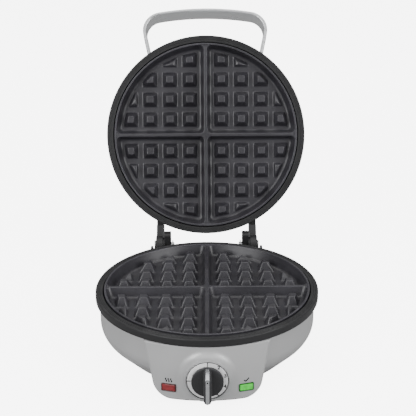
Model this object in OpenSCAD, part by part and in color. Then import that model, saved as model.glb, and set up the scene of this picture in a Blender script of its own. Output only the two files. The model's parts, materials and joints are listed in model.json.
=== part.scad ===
// Round waffle maker: two hinged grid plates, a silver base with a control panel, a lid with a loop handle.
// The lid stands open. Parts of the base are drawn from the centre of the base ring's top face, and
// parts of the lid from the centre of the lid ring's face, with +Y to the handle and +Z out of the face.

/* [Overall] */
// Height of the base ring's top face above the table
ring_height = 70; // [66:0.5:88]
// Outer radius of the two bezel rings
ring_r = 113; // [108:0.5:136]
// Angle of the open lid, measured from closed
open_angle = 109; // [95:1:112]
// Gap between the two ring faces when the lid is closed
closed_gap = 3.6; // [3.2:0.1:6]

/* [Grid plates] */
// Radial gap between a bezel ring's flat face and the plate's lip
plate_gap = 1.9; // [1:0.1:3]
// Width of the flat face of a bezel ring
ring_face = 6.8; // [5:0.1:9]
// Height of the plate's lip above the ring face
lip_height = 1.4; // [0.6:0.1:1.5]
// Width of the lip's flat top
lip_width = 2; // [1.2:0.1:3]
// Depth of the plate's floor below the ring face
floor_depth = 10.6; // [8:0.1:13]
// Thickness of the plate's floor
floor_t = 3.4; // [2.6:0.1:5]
// Draft of the pan's wall
wall_draft = 17; // [10:1:22]
// Distance between two studs
stud_pitch = 22.7; // [20:0.1:25]
// Distance from a cross rib's middle to the first row of studs
stud_start = 18.1; // [16.5:0.1:20]
// Width of a stud at the floor
stud_base = 16.2; // [12:0.1:18]
// Width of a stud's flat top
stud_top = 9.1; // [6:0.1:11]
// Depth of the studs' tops below the ring face
stud_drop = 1.5; // [0.5:0.1:3]
// Clear width of the channel around the studs, at the floor
rim_channel = 4; // [3:0.1:8]
// Width of a cross rib at its top
rib_top = 3.3; // [2.5:0.1:4]
// Width of a cross rib at the floor
rib_base = 9.2; // [7:0.1:10]

/* [Bezel rings] */
// Height of a bezel ring's outer side
ring_side = 7.7; // [6:0.1:10]
// Radius of the ring's rounded outer edge
ring_round = 1.2; // [1:0.1:3]
// Depth of the ledge that carries a grid plate, below the ring face
ledge_depth = 20; // [18.5:0.5:24]
// Thickness of the ledge
ledge_t = 2; // [1.6:0.1:3]
// Width of the ledge, inwards from the ring's skirt
ledge_w = 18; // [15:0.5:22]

/* [Base housing] */
// Wall of the moulded base parts
wall = 2.5; // [2:0.1:3.5]
// How far the housing's side lies inside the ring's edge
housing_inset = 4; // [2:0.5:6]
// Height of the housing's bottom rim above the table
housing_lift = 4; // [3:0.5:6]
// Radius of the housing's lower curve
housing_curve = 22; // [16:1:24]
// Depth at which the lower curve starts, below the ring face
housing_side = 31; // [26:1:34]

/* [Control panel] */
// Half of the panel's width at the top
panel_half = 59.5; // [55:0.5:66]
// Lean of the panel's sides
panel_lean = 10; // [6:1:12]
// Radius of the panel's lower corners
panel_corner = 15; // [10:1:18]
// Radius of the panel's bowed front
panel_bow = 140; // [120:5:200]
// How far the middle of the panel lies behind the ring's edge
panel_back = 1; // [0:0.5:3]
// Height of the knob's axis above the table
knob_height = 32; // [30:0.5:36]
// Radius of the dial ring
dial_r = 20; // [18:0.5:21]
// How far the dial stands out from the panel
boss_rise = 9; // [6:0.5:11]
// Distance of each lamp lens from the middle
lens_x = 36.9; // [34:0.1:38]
// Height of the lamp lenses above the table
lens_height = 17; // [16:0.5:20]
// Width of a lamp lens
lens_w = 14.6; // [11:0.1:15]
// Height of a lamp lens
lens_h = 8.4; // [7:0.1:9]

/* [Knob] */
// Radius of the knob's disc
knob_r = 15; // [13:0.5:16]
// Thickness of the knob's disc
knob_disc = 3.4; // [3:0.1:5]
// Height of the knob's grip above its disc
grip_rise = 15; // [12:0.5:18]
// Thickness of the knob's grip
grip_w = 7.5; // [7:0.1:9]
// Width of the bright pointer strip
pointer_w = 4; // [2:0.5:5]
// Radius of the thermostat's shaft
shaft_r = 3; // [2.5:0.1:3]

/* [Hinge] */
// Distance of the hinge axis behind the base ring's outer edge
hinge_out = 12.6; // [12:0.1:16]
// Depth of the hinge axis below the base ring's top face
hinge_drop = 10.3; // [9.5:0.1:12]
// Radius of the hinge pins
pin_r = 4; // [3:0.1:4.5]
// Radius of the knuckle at the end of a lid arm
knuckle_r = 11; // [10:0.5:11]
// Distance from the middle to a lid arm's inner side
arm_x = 49.5; // [48:0.5:54]
// Thickness of a lid arm
arm_t = 7.5; // [6:0.5:8]
// Distance from the middle to a base lug's inner side
lug_x = 40; // [36:0.5:40]
// Height of a lug's top above the ring face
lug_rise = 6; // [2:0.5:7]
// Depth of a lug, front to back
lug_depth = 12; // [10.5:0.5:14]

/* [Lid] */
// Wall of the lid's steel cover
cover_t = 1.5; // [1:0.1:2]
// Straight side of the cover below the ring
cover_side = 12.3; // [10:0.1:14]
// Radius of the cover's shoulder
cover_round = 24; // [18:1:26]
// Slope of the crown where it meets the shoulder
crown_slope = 6; // [3:1:8]

/* [Handle] */
// Reach of the handle above its tabs' ends
handle_reach = 71.5; // [66:0.5:80]
// Thickness of the handle's band
band_t = 4; // [3:0.1:5]
// Width of the handle's band
band_w = 26; // [24:0.5:28]
// Backward lean of the handle
handle_lean = 13.5; // [8:0.5:15]
// Half of the distance between the centres of the handle's two corners
handle_half = 50; // [46:0.5:54]
// Radius of the handle's corners
handle_corner = 22; // [18:1:26]
// Radius of the handle's bowed top
handle_bow = 320; // [200:10:500]
// Lean of the handle's legs
leg_lean = 12; // [8:1:14]

/* [Hidden] */
$fn = 96;

// Small clearances and overlaps
seat = 0.15;     // between curved pieces that sit on each other
fit = 0.3;       // around a loose fit
run = 0.05;      // radial, around a turning shaft
eps = 0.01;
far = 400;       // longer than anything it cuts

// Grid plate and ring
ring_in = ring_r - ring_face;
plate_r = ring_in - plate_gap;
plate_low = floor_depth + floor_t;
lip_in = plate_r - lip_width;
floor_r = lip_in - (floor_depth + lip_height) * tan(wall_draft);
stud_clip = floor_r - rim_channel;
stud_taper = (stud_base - stud_top) / 2;
stud_last = floor((stud_clip - stud_taper + stud_top / 2 - 1 - stud_start) / stud_pitch);
skirt_t = 1.3;
skirt_r = ring_r - housing_inset - wall - fit;
ledge_r = skirt_r - ledge_w;
screw_ring_r = ledge_r + 7;
screw_angles = [90, 210, 330];
boss_r = 5;
screw_r = 1.6;
shield_t = 0.8;
element_ring_r = ledge_r - 18.2;
element_r = 3.5;
element_gap = 40;
element_z = -plate_low - element_r - 0.05;
shield_depth = 34;

// Base housing and panel
housing_r = ring_r - housing_inset;
housing_low = -ring_height + housing_lift;
curve_c = [housing_r - housing_curve, -housing_side];
cover_plate_r = housing_r_at_bottom(wall) - fit - 0.4;
panel_top = -ring_side - seat;
panel_low = housing_low - 0.4;
panel_front = -ring_r + panel_back;
knob_z = knob_height - ring_height;
dial_y = panel_front - boss_rise;
lens_z = lens_height - ring_height;
lens_tilt = asin(lens_x / panel_bow);
lens_y = panel_front + panel_bow - panel_bow * cos(lens_tilt);
knob_back_y = dial_y - 0.6;
knob_face_y = knob_back_y - knob_disc;
grip_y = knob_face_y - grip_rise;
bracket_y = dial_y + 14;
cam_y = dial_y + 32;
pointer_t = 0.6;

// Hinge
hinge_y = ring_r + hinge_out;
hinge_z = -hinge_drop;
arm_out = arm_x + arm_t;
lug_t = arm_x - lug_x - 2.2;
lug_out = lug_x + lug_t;
stand_half = arm_out + 6;
stand_screw_z = -27;
stand_screw_l = 14;
stand_back = hinge_y + 12.4;
stand_from = hinge_y - 65.6;     // inside the housing, which cuts the stand
inlet_z = housing_low + 18;
block_from = cover_plate_r - 34.9;
block_length = 16;
stand_top = hinge_z - knuckle_r - 1.2;
arm_back = 8.4;
bush_t = 1.5;
axis_n = closed_gap - hinge_z;   // height of the axis in the lid's frame

// Lid cover and handle, in the lid's frame
cover_r = ring_r - 4.5;
shoulder_c = [cover_r - cover_round, -ring_side - cover_side];
crown_edge = [shoulder_c[0] + cover_round * sin(crown_slope),
              shoulder_c[1] - cover_round * cos(crown_slope)];
crown_r = crown_edge[0] / sin(crown_slope);
handle_foot = [ring_r - 35, -ring_side - 2.3];
corner_turn = asin(handle_half / (handle_bow - handle_corner));
corner_c = [handle_half, handle_reach - handle_bow + (handle_bow - handle_corner) * cos(corner_turn)];
tab_w = 9;
tab_from = band_w - tab_w - 2;

// Height and depth limits of the whole, which centre it on the origin
handle_back_uz = [handle_foot[0] + handle_reach * cos(handle_lean) - band_w * sin(handle_lean),
                  handle_foot[1] - handle_reach * sin(handle_lean) - band_w * cos(handle_lean)];
back_y = open_y(handle_back_uz[0], handle_back_uz[1]);
front_y = grip_y - pointer_t;
base_y = -(back_y + front_y) / 2;

// Feet: [x, y] from the middle of the base
front_foot = (cover_plate_r - 13.7) * [0.66, -0.752];
rear_foot = [46, hinge_y - 5];
feet_places = [front_foot, [-front_foot[0], front_foot[1]], rear_foot, [-rear_foot[0], rear_foot[1]]];
foot_r = 9;
foot_plug_r = 3;

// ---- Functions ----

// Points along an arc around c, from angle a to angle b
function arc(c, r, a, b, n) = [for (i = [0:n]) [c[0] + r * cos(a + (b - a) * i / n), c[1] + r * sin(a + (b - a) * i / n)]];

// Where a point of the lid (u towards the handle, n out of the face) lies front to back when open
function open_y(u, n) = hinge_y + (-u - hinge_y) * cos(open_angle)
    + (closed_gap - n - hinge_z) * sin(open_angle);

// Radius of the housing at its bottom rim, a depth t inside its outer face
function housing_r_at_bottom(t) = curve_c[0] + (housing_curve - t) * cos(45)
    - (ring_height - housing_lift - housing_side - (housing_curve - t) * sin(45));

// Outline of the housing's side, a depth t inside its outer face, from the top down
function housing_side_points(t, top) = concat(
    [[housing_r - t, top]],
    arc(curve_c, housing_curve - t, 0, -45, 10),
    [[housing_r_at_bottom(t), housing_low]]);

// Outline of the lid cover, a depth t inside its outer face, from the ring to the middle
function cover_points(t) = concat(
    [[cover_r - t, -ring_side - seat]],
    arc(shoulder_c, cover_round - t, 0, crown_slope - 90, 12),
    [for (i = [10:-1:0]) [(crown_r - t) * sin(crown_slope * i / 11),
                         crown_edge[1] + crown_r * cos(crown_slope) - (crown_r - t) * cos(crown_slope * i / 11)]]);

// One side of the handle's outline, a depth t inside its outer edge, from the top to the leg's end
function handle_side(t) = concat(
    arc([0, handle_reach - handle_bow], handle_bow - t, 90, 90 - corner_turn, 8),
    arc(corner_c, handle_corner - t, 90 - corner_turn, -leg_lean, 10),
    [[corner_c[0] + (handle_corner - t) / cos(leg_lean) - corner_c[1] * tan(leg_lean), 0]]);

// The same points on the other side, in the opposite order
function mirrored(points) = [for (i = [len(points) - 1:-1:0]) [-points[i][0], points[i][1]]];

// The same points in the opposite order
function backwards(points) = [for (i = [len(points) - 1:-1:0]) points[i]];

// ---- Places ----

module on_base() {
    translate([0, base_y, ring_height]) children();
}

module on_lid() {
    on_base()
        translate([0, hinge_y, hinge_z])
            rotate([-open_angle, 0, 0])
                translate([0, -hinge_y, closed_gap - hinge_z])
                    rotate([180, 0, 0]) children();
}

// Turns a profile drawn along +Z so that it points out of the panel, on the knob's axis
module on_knob_axis() {
    translate([0, 0, knob_z]) rotate([90, 0, 0]) children();
}

module both_sides() {
    for (side = [0, 1]) mirror([side, 0, 0]) children();
}

module at_screw_angles() {
    for (a = screw_angles) rotate(a) translate([screw_ring_r, 0, 0]) children();
}

// A prism along X, from the outline's (y, z) points
module along_x(x0, x1) {
    translate([x0, 0, 0]) rotate([90, 0, 90]) linear_extrude(x1 - x0) children();
}

// ---- Grid plate and its stack, shared by the base and the lid ----

module trapezium_bar(top_w, base_w, top_z, length) {
    slope = (base_w - top_w) / 2 / (floor_depth + top_z);
    sink = 1;
    low = -floor_depth - sink;
    rotate([90, 0, 0]) linear_extrude(length, center = true)
        polygon([[-base_w / 2 - slope * sink, low], [base_w / 2 + slope * sink, low],
                 [top_w / 2, top_z], [-top_w / 2, top_z]]);
}

module stud_bars() {
    for (side = [-1, 1], i = [0:stud_last])
        translate([side * (stud_start + stud_pitch * i), 0, 0])
            trapezium_bar(stud_top, stud_base, -stud_drop, 2 * stud_clip);
}

module studs() {
    intersection() {
        stud_bars();
        rotate(90) stud_bars();
        union() {
            translate([0, 0, -floor_depth - 2]) cylinder(r = stud_clip, h = 2);
            translate([0, 0, -floor_depth])
                cylinder(r1 = stud_clip, r2 = stud_clip - stud_taper, h = floor_depth - stud_drop);
        }
    }
}

module grid_plate() {
    difference() {
        union() {
            rotate_extrude()
                polygon([[0, -plate_low], [plate_r, -plate_low], [plate_r, lip_height - 0.4],
                         [plate_r - 0.4, lip_height], [lip_in, lip_height],
                         [floor_r, -floor_depth], [0, -floor_depth]]);
            trapezium_bar(rib_top, rib_base, 0, 2 * (lip_in + 0.8));
            rotate(90) trapezium_bar(rib_top, rib_base, 0, 2 * (lip_in + 0.8));
            studs();
            at_screw_angles() translate([0, 0, -ledge_depth])
                cylinder(r = boss_r, h = ledge_depth - plate_low + 1);
        }
        at_screw_angles() translate([0, 0, -ledge_depth - 1])
            cylinder(r = screw_r + run, h = 6);
    }
}

module bezel_ring() {
    difference() {
        rotate_extrude()
            polygon(concat(
                [[ring_in, 0]],
                arc([ring_r - ring_round, -ring_round], ring_round, 90, 0, 8),
                [[ring_r, -ring_side], [skirt_r, -ring_side], [skirt_r, -ledge_depth - ledge_t],
                 [ledge_r, -ledge_depth - ledge_t], [ledge_r, -ledge_depth],
                 [skirt_r - skirt_t, -ledge_depth], [skirt_r - skirt_t, -4], [ring_in, -3]]));
        at_screw_angles() translate([0, 0, -ledge_depth - ledge_t - 1])
            cylinder(r = screw_r + fit, h = ledge_t + 2);
    }
}

module heating_element() {
    start = -90 + element_gap / 2;
    rotate(start) rotate_extrude(angle = 360 - element_gap)
        translate([element_ring_r, element_z]) circle(r = element_r, $fn = 32);
    for (a = [start, -90 - element_gap / 2]) rotate(a)
        translate([element_ring_r, 0, element_z - 24]) cylinder(r = element_r, h = 24, $fn = 32);
}

module element_clips() {
    clip_w = 12;
    clip_t = 1;
    outer = element_r + clip_t + 0.3;
    for (a = [0, 60, 120, 180]) rotate(a) translate([element_ring_r, 0, 0]) difference() {
        union() {
            translate([-outer, -clip_w / 2, element_z - outer])
                cube([2 * outer, clip_w, -plate_low - element_z + outer]);
            translate([-outer - 5, -clip_w / 2, -plate_low - clip_t])
                cube([2 * outer + 10, clip_w, clip_t]);
        }
        translate([-outer + clip_t, -clip_w, element_z - outer + clip_t])
            cube([2 * (outer - clip_t), 2 * clip_w, 3 * outer]);
    }
}

module heat_shield() {
    flange_z = -ledge_depth - ledge_t;
    dish_r = ledge_r - 4;
    floor_edge = dish_r - 6;
    difference() {
        rotate_extrude()
            polygon([[0, -shield_depth - shield_t], [floor_edge, -shield_depth - shield_t],
                     [dish_r, flange_z - shield_t], [screw_ring_r + 4.5, flange_z - shield_t],
                     [screw_ring_r + 4.5, flange_z], [dish_r - shield_t, flange_z],
                     [floor_edge - shield_t, -shield_depth], [0, -shield_depth]]);
        at_screw_angles() translate([0, 0, flange_z - shield_t - 1])
            cylinder(r = screw_r + fit, h = shield_t + 2);
        for (a = [-90 + element_gap / 2, -90 - element_gap / 2]) rotate(a)
            translate([element_ring_r, 0, -shield_depth - 2]) cylinder(r = element_r + 1, h = 14);
    }
}

module screw(shank_r, length, head_r, head_h) {
    cylinder(r = shank_r, h = length, $fn = 32);
    translate([0, 0, -head_h]) difference() {
        cylinder(r = head_r, h = head_h, $fn = 32);
        for (a = [0, 90]) rotate(a) translate([-head_r * 0.6, -0.5, -eps])
            cube([head_r * 1.2, 1, head_h * 0.5]);
    }
}

module plate_screws() {
    under = -ledge_depth - ledge_t - shield_t;
    at_screw_angles() translate([0, 0, under]) screw(screw_r, -under - plate_low - 3, 3.4, 2.4);
}

// ---- Base: shells ----

module housing_solid(grow) {
    rotate_extrude() polygon(concat([[0, panel_top]], housing_side_points(-grow, panel_top), [[0, housing_low]]));
}

module cover_screw_places() {
    for (a = [20, 160, 200, 340]) rotate(a) translate([cover_plate_r - 4, 0, 0]) children();
}

module stand_screw_places() {
    for (x = [-45, -15, 15, 45])
        translate([x, sqrt(pow(housing_r - wall, 2) - pow(abs(x) + 3.4, 2)) - 0.1, stand_screw_z])
            rotate([-90, 0, 0]) children();
}

module base_housing() {
    flange_z = housing_low + wall + 0.1;
    color([0.72, 0.73, 0.75]) on_base() difference() {
        union() {
            difference() {
                housing_solid(0);
                rotate_extrude() polygon(concat([[0, panel_top + 1], [housing_r - wall, panel_top + 1]],
                    housing_side_points(wall, panel_top), [[0, housing_low - eps]]));
            }
            translate([0, 0, flange_z]) difference() {
                cylinder(r = housing_r_at_bottom(wall) + 4, h = wall);
                translate([0, 0, -1]) cylinder(r = cover_plate_r - 8, h = wall + 2);
            }
        }
        // window behind the control panel
        translate([-46, -ring_r - 5, lens_z - 8]) cube([92, 60, -lens_z - 14]);
        // wire passage into the rear stand
        translate([-15, stand_from, housing_low + 14]) cube([30, hinge_y - stand_from, 16]);
        cover_screw_places() translate([0, 0, flange_z - 1]) cylinder(r = screw_r + run, h = wall + 2);
        stand_screw_places() cylinder(r = screw_r + fit, h = 24, center = true);
    }
}

// Front outline of the control panel, a depth t inside its edge
module panel_outline(t) {
    side_x = panel_half - (panel_corner + panel_top - panel_low) * tan(panel_lean);
    c = [side_x - panel_corner / cos(panel_lean), panel_low + panel_corner];
    half = concat([[panel_half - t / cos(panel_lean), panel_top - t]], arc(c, panel_corner - t, -panel_lean, -90, 8));
    polygon(concat(half, mirrored(half)));
}

module panel_prism(t, front) {
    intersection() {
        rotate([90, 0, 0]) linear_extrude(far) panel_outline(t);
        translate([0, panel_front + panel_bow, -ring_height - 1]) cylinder(r = panel_bow - front, h = ring_height);
        translate([-far / 2, -far, -ring_height]) cube([far, far - 40, ring_height]);
    }
}

module on_lens(side) {
    translate([side * lens_x, lens_y, lens_z]) rotate([0, 0, side * lens_tilt]) children();
}

module control_panel() {
    post_y = bracket_y;
    color([0.76, 0.77, 0.78]) on_base() difference() {
        union() {
            difference() {
                panel_prism(0, 0);
                panel_prism(wall, wall);
                housing_solid(seat);
                translate([0, 0, -ring_height]) cylinder(r = housing_r_at_bottom(-seat), h = 10);
            }
            // flared boss for the dial
            on_knob_axis() rotate_extrude() polygon(concat(
                [[0, -panel_front - 3], [26, -panel_front - 3]],
                [for (i = [0:6]) [26 - 5.2 * sin(90 * i / 6), -panel_front - 2 + (boss_rise + 2) * (1 - cos(90 * i / 6))]],
                [[0, -dial_y]]));
            for (x = [-16, 16]) on_knob_axis() translate([x, 0, -post_y])
                cylinder(r = 3.5, h = post_y - panel_front - 1);
        }
        on_knob_axis() {
            translate([0, 0, -post_y]) cylinder(r = shaft_r + 1, h = 40);
            translate([0, 0, -panel_front - wall - 9]) cylinder(r = 12, h = boss_rise + 7.5);
            translate([0, 0, -dial_y - 1.2]) cylinder(r = dial_r + 0.1, h = 5);
            for (x = [-16, 16]) translate([x, 0, -post_y - 1]) cylinder(r = screw_r + run, h = 7);
        }
        for (side = [-1, 1]) on_lens(side)
            translate([-lens_w / 2 - 0.1, -4, -lens_h / 2 - 0.1]) cube([lens_w + 0.2, 14, lens_h + 0.2]);
    }
}

module base_bezel_ring() {
    color([0.2, 0.2, 0.21]) on_base() bezel_ring();
}

// Side outline of the stand where a lid arm moves: its sloping top stops the open lid
module stop_outline() {
    stop_gap = 0.1;
    function stop_z(y) = hinge_z - arm_back * sin(open_angle) - stop_gap
        + (y - hinge_y + arm_back * -cos(open_angle)) * cos(open_angle) / sin(open_angle);
    polygon([[stand_from, housing_low], [stand_back, housing_low], [stand_back, stop_z(stand_back)],
             [stand_back - 6.5, stop_z(stand_back - 6.5)], [stand_back - 8, stand_top], [stand_from, stand_top]]);
}

module stand_plan() {
    corner = 10;
    intersection() {
        union() {
            translate([-stand_half, stand_from]) square([2 * stand_half, stand_back - corner - stand_from]);
            translate([-stand_half + corner, stand_from])
                square([2 * (stand_half - corner), stand_back - stand_from]);
            for (side = [-1, 1]) translate([side * (stand_half - corner), stand_back - corner]) circle(r = corner);
        }
        translate([-far / 2, stand_from]) square([far, far]);
    }
}

module rear_stand() {
    deck = stand_top - 3;
    color([0.17, 0.17, 0.18]) on_base() difference() {
        union() {
            intersection() {
                along_x(-stand_half, stand_half) stop_outline();
                translate([0, 0, housing_low]) linear_extrude(ring_height) stand_plan();
            }
            // shoulders outside the arms, middle deck and the two lugs
            both_sides() {
                translate([arm_out + 3.2, stand_from, housing_low])
                    cube([stand_half - arm_out - 3.2, hinge_y - stand_from, hinge_z - housing_low]);
                translate([lug_x, hinge_y - lug_depth / 2, stand_top - 2])
                    cube([lug_t, lug_depth, lug_rise - stand_top + 2 - 3]);
                translate([lug_x, hinge_y - lug_depth / 2 + 3, stand_top - 2])
                    cube([lug_t, lug_depth - 6, lug_rise - stand_top + 2]);
                for (y = [-1, 1]) translate([lug_x, hinge_y + y * (lug_depth / 2 - 3), lug_rise - 3])
                    rotate([0, 90, 0]) cylinder(r = 3, h = lug_t);
                translate([lug_out - eps, hinge_y, hinge_z]) rotate([0, 90, 0]) cylinder(r = knuckle_r - 1.5, h = 2);
            }
            translate([-lug_out, stand_from, stand_top - 1]) cube([2 * lug_out, hinge_y + 3 - stand_from, 5]);
        }
        housing_solid(seat);
        // hollow, open towards the housing, with a post for each screw
        difference() {
            translate([-stand_half + wall, stand_from, housing_low + wall])
                cube([2 * (stand_half - wall), stand_back - wall - stand_from, deck - housing_low - wall]);
            stand_screw_places() cylinder(r = 4, h = 60);
        }
        stand_screw_places() cylinder(r = screw_r + run, h = stand_screw_l + 1);
        both_sides() translate([lug_x - 1, hinge_y, hinge_z]) rotate([0, 90, 0]) cylinder(r = pin_r, h = lug_t + 4);
        for (p = feet_places) if (p[1] > 0) translate([p[0], p[1], housing_low - 1]) cylinder(r = foot_plug_r, h = wall + 2);
        translate([0, stand_back, inlet_z]) rotate([90, 0, 0]) cylinder(r = 5.2, h = 10, center = true);
    }
}

module base_cover() {
    color([0.16, 0.16, 0.17]) on_base() translate([0, 0, housing_low]) difference() {
        cylinder(r = cover_plate_r, h = wall);
        cover_screw_places() translate([0, 0, -1]) cylinder(r = screw_r + fit, h = wall + 2);
        for (p = feet_places) if (p[1] < 0) translate([p[0], p[1], -1]) cylinder(r = foot_plug_r, h = wall + 2);
        for (a = [-2:2]) translate([a * 9 - 1.5, 10, -1]) cube([3, 30, wall + 2]);
    }
}

module base_cover_screws() {
    color("silver") on_base() cover_screw_places() translate([0, 0, housing_low]) screw(screw_r, 7, 3.2, 2);
}

module rubber_feet() {
    color([0.1, 0.1, 0.1]) on_base() for (p = feet_places) translate([p[0], p[1], -ring_height]) {
        cylinder(r1 = foot_r - 0.8, r2 = foot_r, h = 1);
        translate([0, 0, 1]) cylinder(r = foot_r, h = housing_lift - 1);
        translate([0, 0, housing_lift - 1]) cylinder(r = foot_plug_r, h = wall + 2);
        translate([0, 0, housing_lift + wall]) cylinder(r = foot_plug_r + 1, h = 1.2);
    }
}

module stand_screws() {
    color("silver") on_base() stand_screw_places() screw(screw_r, stand_screw_l, 3.2, 2);
}

module cord_inlet() {
    color([0.08, 0.08, 0.08]) on_base() translate([0, stand_back, inlet_z]) rotate([-90, 0, 0]) difference() {
        union() {
            cylinder(r = 8, h = 2.2);
            translate([0, 0, -wall]) cylinder(r = 5.2, h = wall + 1);
            translate([0, 0, -wall - 2]) cylinder(r = 6.4, h = 2);
        }
        translate([0, 0, -10]) cylinder(r = 3.6, h = 20);
    }
}

// ---- Base: cooking stack ----

module lower_grid_plate() {
    color([0.24, 0.24, 0.26]) on_base() grid_plate();
}

module lower_heating_element() {
    color([0.45, 0.44, 0.42]) on_base() heating_element();
}

module lower_element_clips() {
    color("silver") on_base() element_clips();
}

module lower_heat_shield() {
    color("silver") on_base() heat_shield();
}

module lower_plate_screws() {
    color("silver") on_base() plate_screws();
}

// ---- Base: controls ----

module thermostat_body() {
    front = bracket_y + 2;
    color([0.85, 0.82, 0.74]) on_base() difference() {
        translate([-14, front, knob_z - 12]) cube([28, 20, 24]);
        on_knob_axis() {
            translate([0, 0, -front - 20]) cylinder(r = shaft_r + run, h = 30);
            translate([0, 0, -cam_y - 1.3]) cylinder(r = 6.4, h = 3.6);
        }
    }
}

module thermostat_bracket() {
    color("silver") on_base() difference() {
        translate([-21, bracket_y, knob_z - 14]) cube([42, 2, 28]);
        on_knob_axis() {
            translate([0, 0, -bracket_y - 10]) cylinder(r = shaft_r + 1, h = 20);
            for (x = [-16, 16]) translate([x, 0, -bracket_y - 10]) cylinder(r = screw_r + fit, h = 20);
        }
    }
}

module thermostat_screws() {
    color("silver") on_base() on_knob_axis() for (x = [-17.8, 17.8])
        translate([x > 0 ? 16 : -16, 0, -bracket_y - 2]) screw(screw_r, 7, 1.9, 1.5);
}

module dial_ring() {
    color([0.85, 0.86, 0.87]) on_base() on_knob_axis() translate([0, 0, -dial_y - 1.2]) difference() {
        cylinder(r = dial_r, h = 1.2);
        translate([0, 0, -1]) cylinder(r = 8, h = 4);
    }
}

module lens_body(side) {
    on_base() on_lens(side) difference() {
        translate([-lens_w / 2, -1, -lens_h / 2]) cube([lens_w, 5, lens_h]);
        translate([-lens_w / 2 + 1.2, -1.5, -lens_h / 2 + 1.2]) cube([lens_w - 2.4, 1, lens_h - 2.4]);
    }
}

module heating_lens() {
    color([0.62, 0.2, 0.22]) lens_body(-1);
}

module ready_lens() {
    color([0.4, 0.72, 0.38]) lens_body(1);
}

module neon_lamps() {
    color([0.9, 0.6, 0.4]) on_base() for (side = [-1, 1]) on_lens(side)
        translate([-5, 6.6, 0]) rotate([0, 90, 0]) cylinder(r = 2.4, h = 10, $fn = 32);
}

module terminal_block() {
    color([0.9, 0.88, 0.8]) on_base() translate([-16, block_from, housing_low + wall]) difference() {
        cube([32, block_length, 12]);
        for (x = [8, 16, 24]) translate([x, block_length / 2, 7]) cylinder(r = 2, h = 6);
    }
}

module thermal_fuse() {
    color([0.8, 0.75, 0.6]) on_base() translate([-12, 30, element_z - 1]) {
        rotate([0, 90, 0]) cylinder(r = 2.2, h = 24, $fn = 32);
        translate([7, -2, 1]) cube([10, 4, -plate_low - element_z]);
    }
}

// A round lead through the points, with a ring of eight corners at each point
module lead(points, r) {
    n = len(points);
    function turn(i) = let (a = points[max(i - 1, 0)], b = points[min(i + 1, n - 1)]) (b - a) / norm(b - a);
    function side(i) = let (s = cross(turn(i), abs(turn(i)[2]) > 0.9 ? [1, 0, 0] : [0, 0, 1])) s / norm(s);
    rings = [for (i = [0:n - 1], k = [0:7])
        points[i] + r * (cos(45 * k) * side(i) + sin(45 * k) * cross(side(i), turn(i)))];
    faces = [for (i = [0:n - 2], k = [0:7])
        [8 * i + k, 8 * i + (k + 1) % 8, 8 * i + 8 + (k + 1) % 8, 8 * i + 8 + k]];
    polyhedron(rings, concat(faces, [[for (k = [7:-1:0]) k], [for (k = [0:7]) 8 * (n - 1) + k]]));
}

module base_wiring() {
    block_y = [block_from - 1.6, block_from + block_length + 1.6];
    function at(x, y, up) = [x, y, housing_low + up];
    color([0.75, 0.75, 0.72]) on_base() for (side = [-1, 1]) {
        lead([at(side * 1.6, stand_back - 6, 18), at(side * 3, stand_back - 28, 16), at(side * 6, stand_back - 53, 19),
              at(side * 8, block_y[1] + 4.4, 22), at(side * 8, block_y[1], 14)], 1.2);
        lead([at(side * 8, block_y[0], 12), at(side * 9, 30, 10), at(side * 10, 0, 10), at(side * 10, -50, 12),
              [side * 8, bracket_y + 37, knob_z - 6], [side * 6, bracket_y + 23.5, knob_z - 6]], 1.2);
    }
}

// ---- Hinge ----

module hinge_pins() {
    color("silver") on_base() both_sides() translate([lug_x - 3.5, hinge_y, hinge_z]) rotate([0, 90, 0]) difference() {
        union() {
            cylinder(r = pin_r, h = arm_out - lug_x + 5);
            translate([0, 0, arm_out - lug_x + 4]) cylinder(r = pin_r + 2, h = 1.4);
        }
        translate([0, 0, -1]) cylinder(r = pin_r - 1.4, h = arm_out - lug_x + 12);
        translate([0, 0, 1.2]) difference() {
            cylinder(r = pin_r + 1, h = 1.1);
            translate([0, 0, -1]) cylinder(r = pin_r - 0.7, h = 4);
        }
    }
}

module hinge_pin_clips() {
    color("silver") on_base() both_sides() translate([lug_x - 2.25, hinge_y, hinge_z]) rotate([0, 90, 0]) difference() {
        cylinder(r = pin_r + 2.2, h = 1);
        translate([0, 0, -1]) cylinder(r = pin_r - 0.65, h = 4);
        translate([0, -2.4, -1]) cube([far, 4.8, 4]);
    }
}

// Side outline of a lid arm in the lid's frame, as (u, n) points, from its knuckle to the cover
module arm_outline() {
    front = -hinge_y + knuckle_r - 1.2;
    back = -hinge_y - arm_back;
    ring_out = -(ring_r - 9.7);
    top = -38;
    polygon([[front, axis_n], [front, axis_n - 9], [ring_out, -1], [ring_out, -ring_side - seat],
             [28.5 - cover_r, -ring_side - seat], [28.5 - cover_r, top], [back + 16, top], [back, -18], [back, axis_n]]);
}

module hinge_arm() {
    difference() {
        union() {
            along_x(arm_x, arm_out) arm_outline();
            translate([arm_x, -hinge_y, axis_n]) rotate([0, 90, 0]) cylinder(r = knuckle_r, h = arm_t);
        }
        translate([arm_x - 1, -hinge_y, axis_n]) rotate([0, 90, 0]) cylinder(r = pin_r + bush_t, h = arm_t + 2);
        cover_solid(seat);
        translate([0, 0, -ring_side - seat]) cylinder(r = ring_r + seat, h = far);
        arm_screw_places() cylinder(r = screw_r + run, h = 50, center = true);
    }
}

// The cover's outer shape as one solid, grown by a clearance
module cover_solid(grow) {
    rotate_extrude() polygon(concat([[0, -ring_side + 1], [cover_r + grow, -ring_side + 1]], cover_points(-grow)));
}

// Radius of the cover's inner face at a depth n past its straight side
function cover_in_r(n) = shoulder_c[0] + sqrt(pow(cover_round - cover_t, 2) - pow(n - shoulder_c[1], 2));

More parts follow.
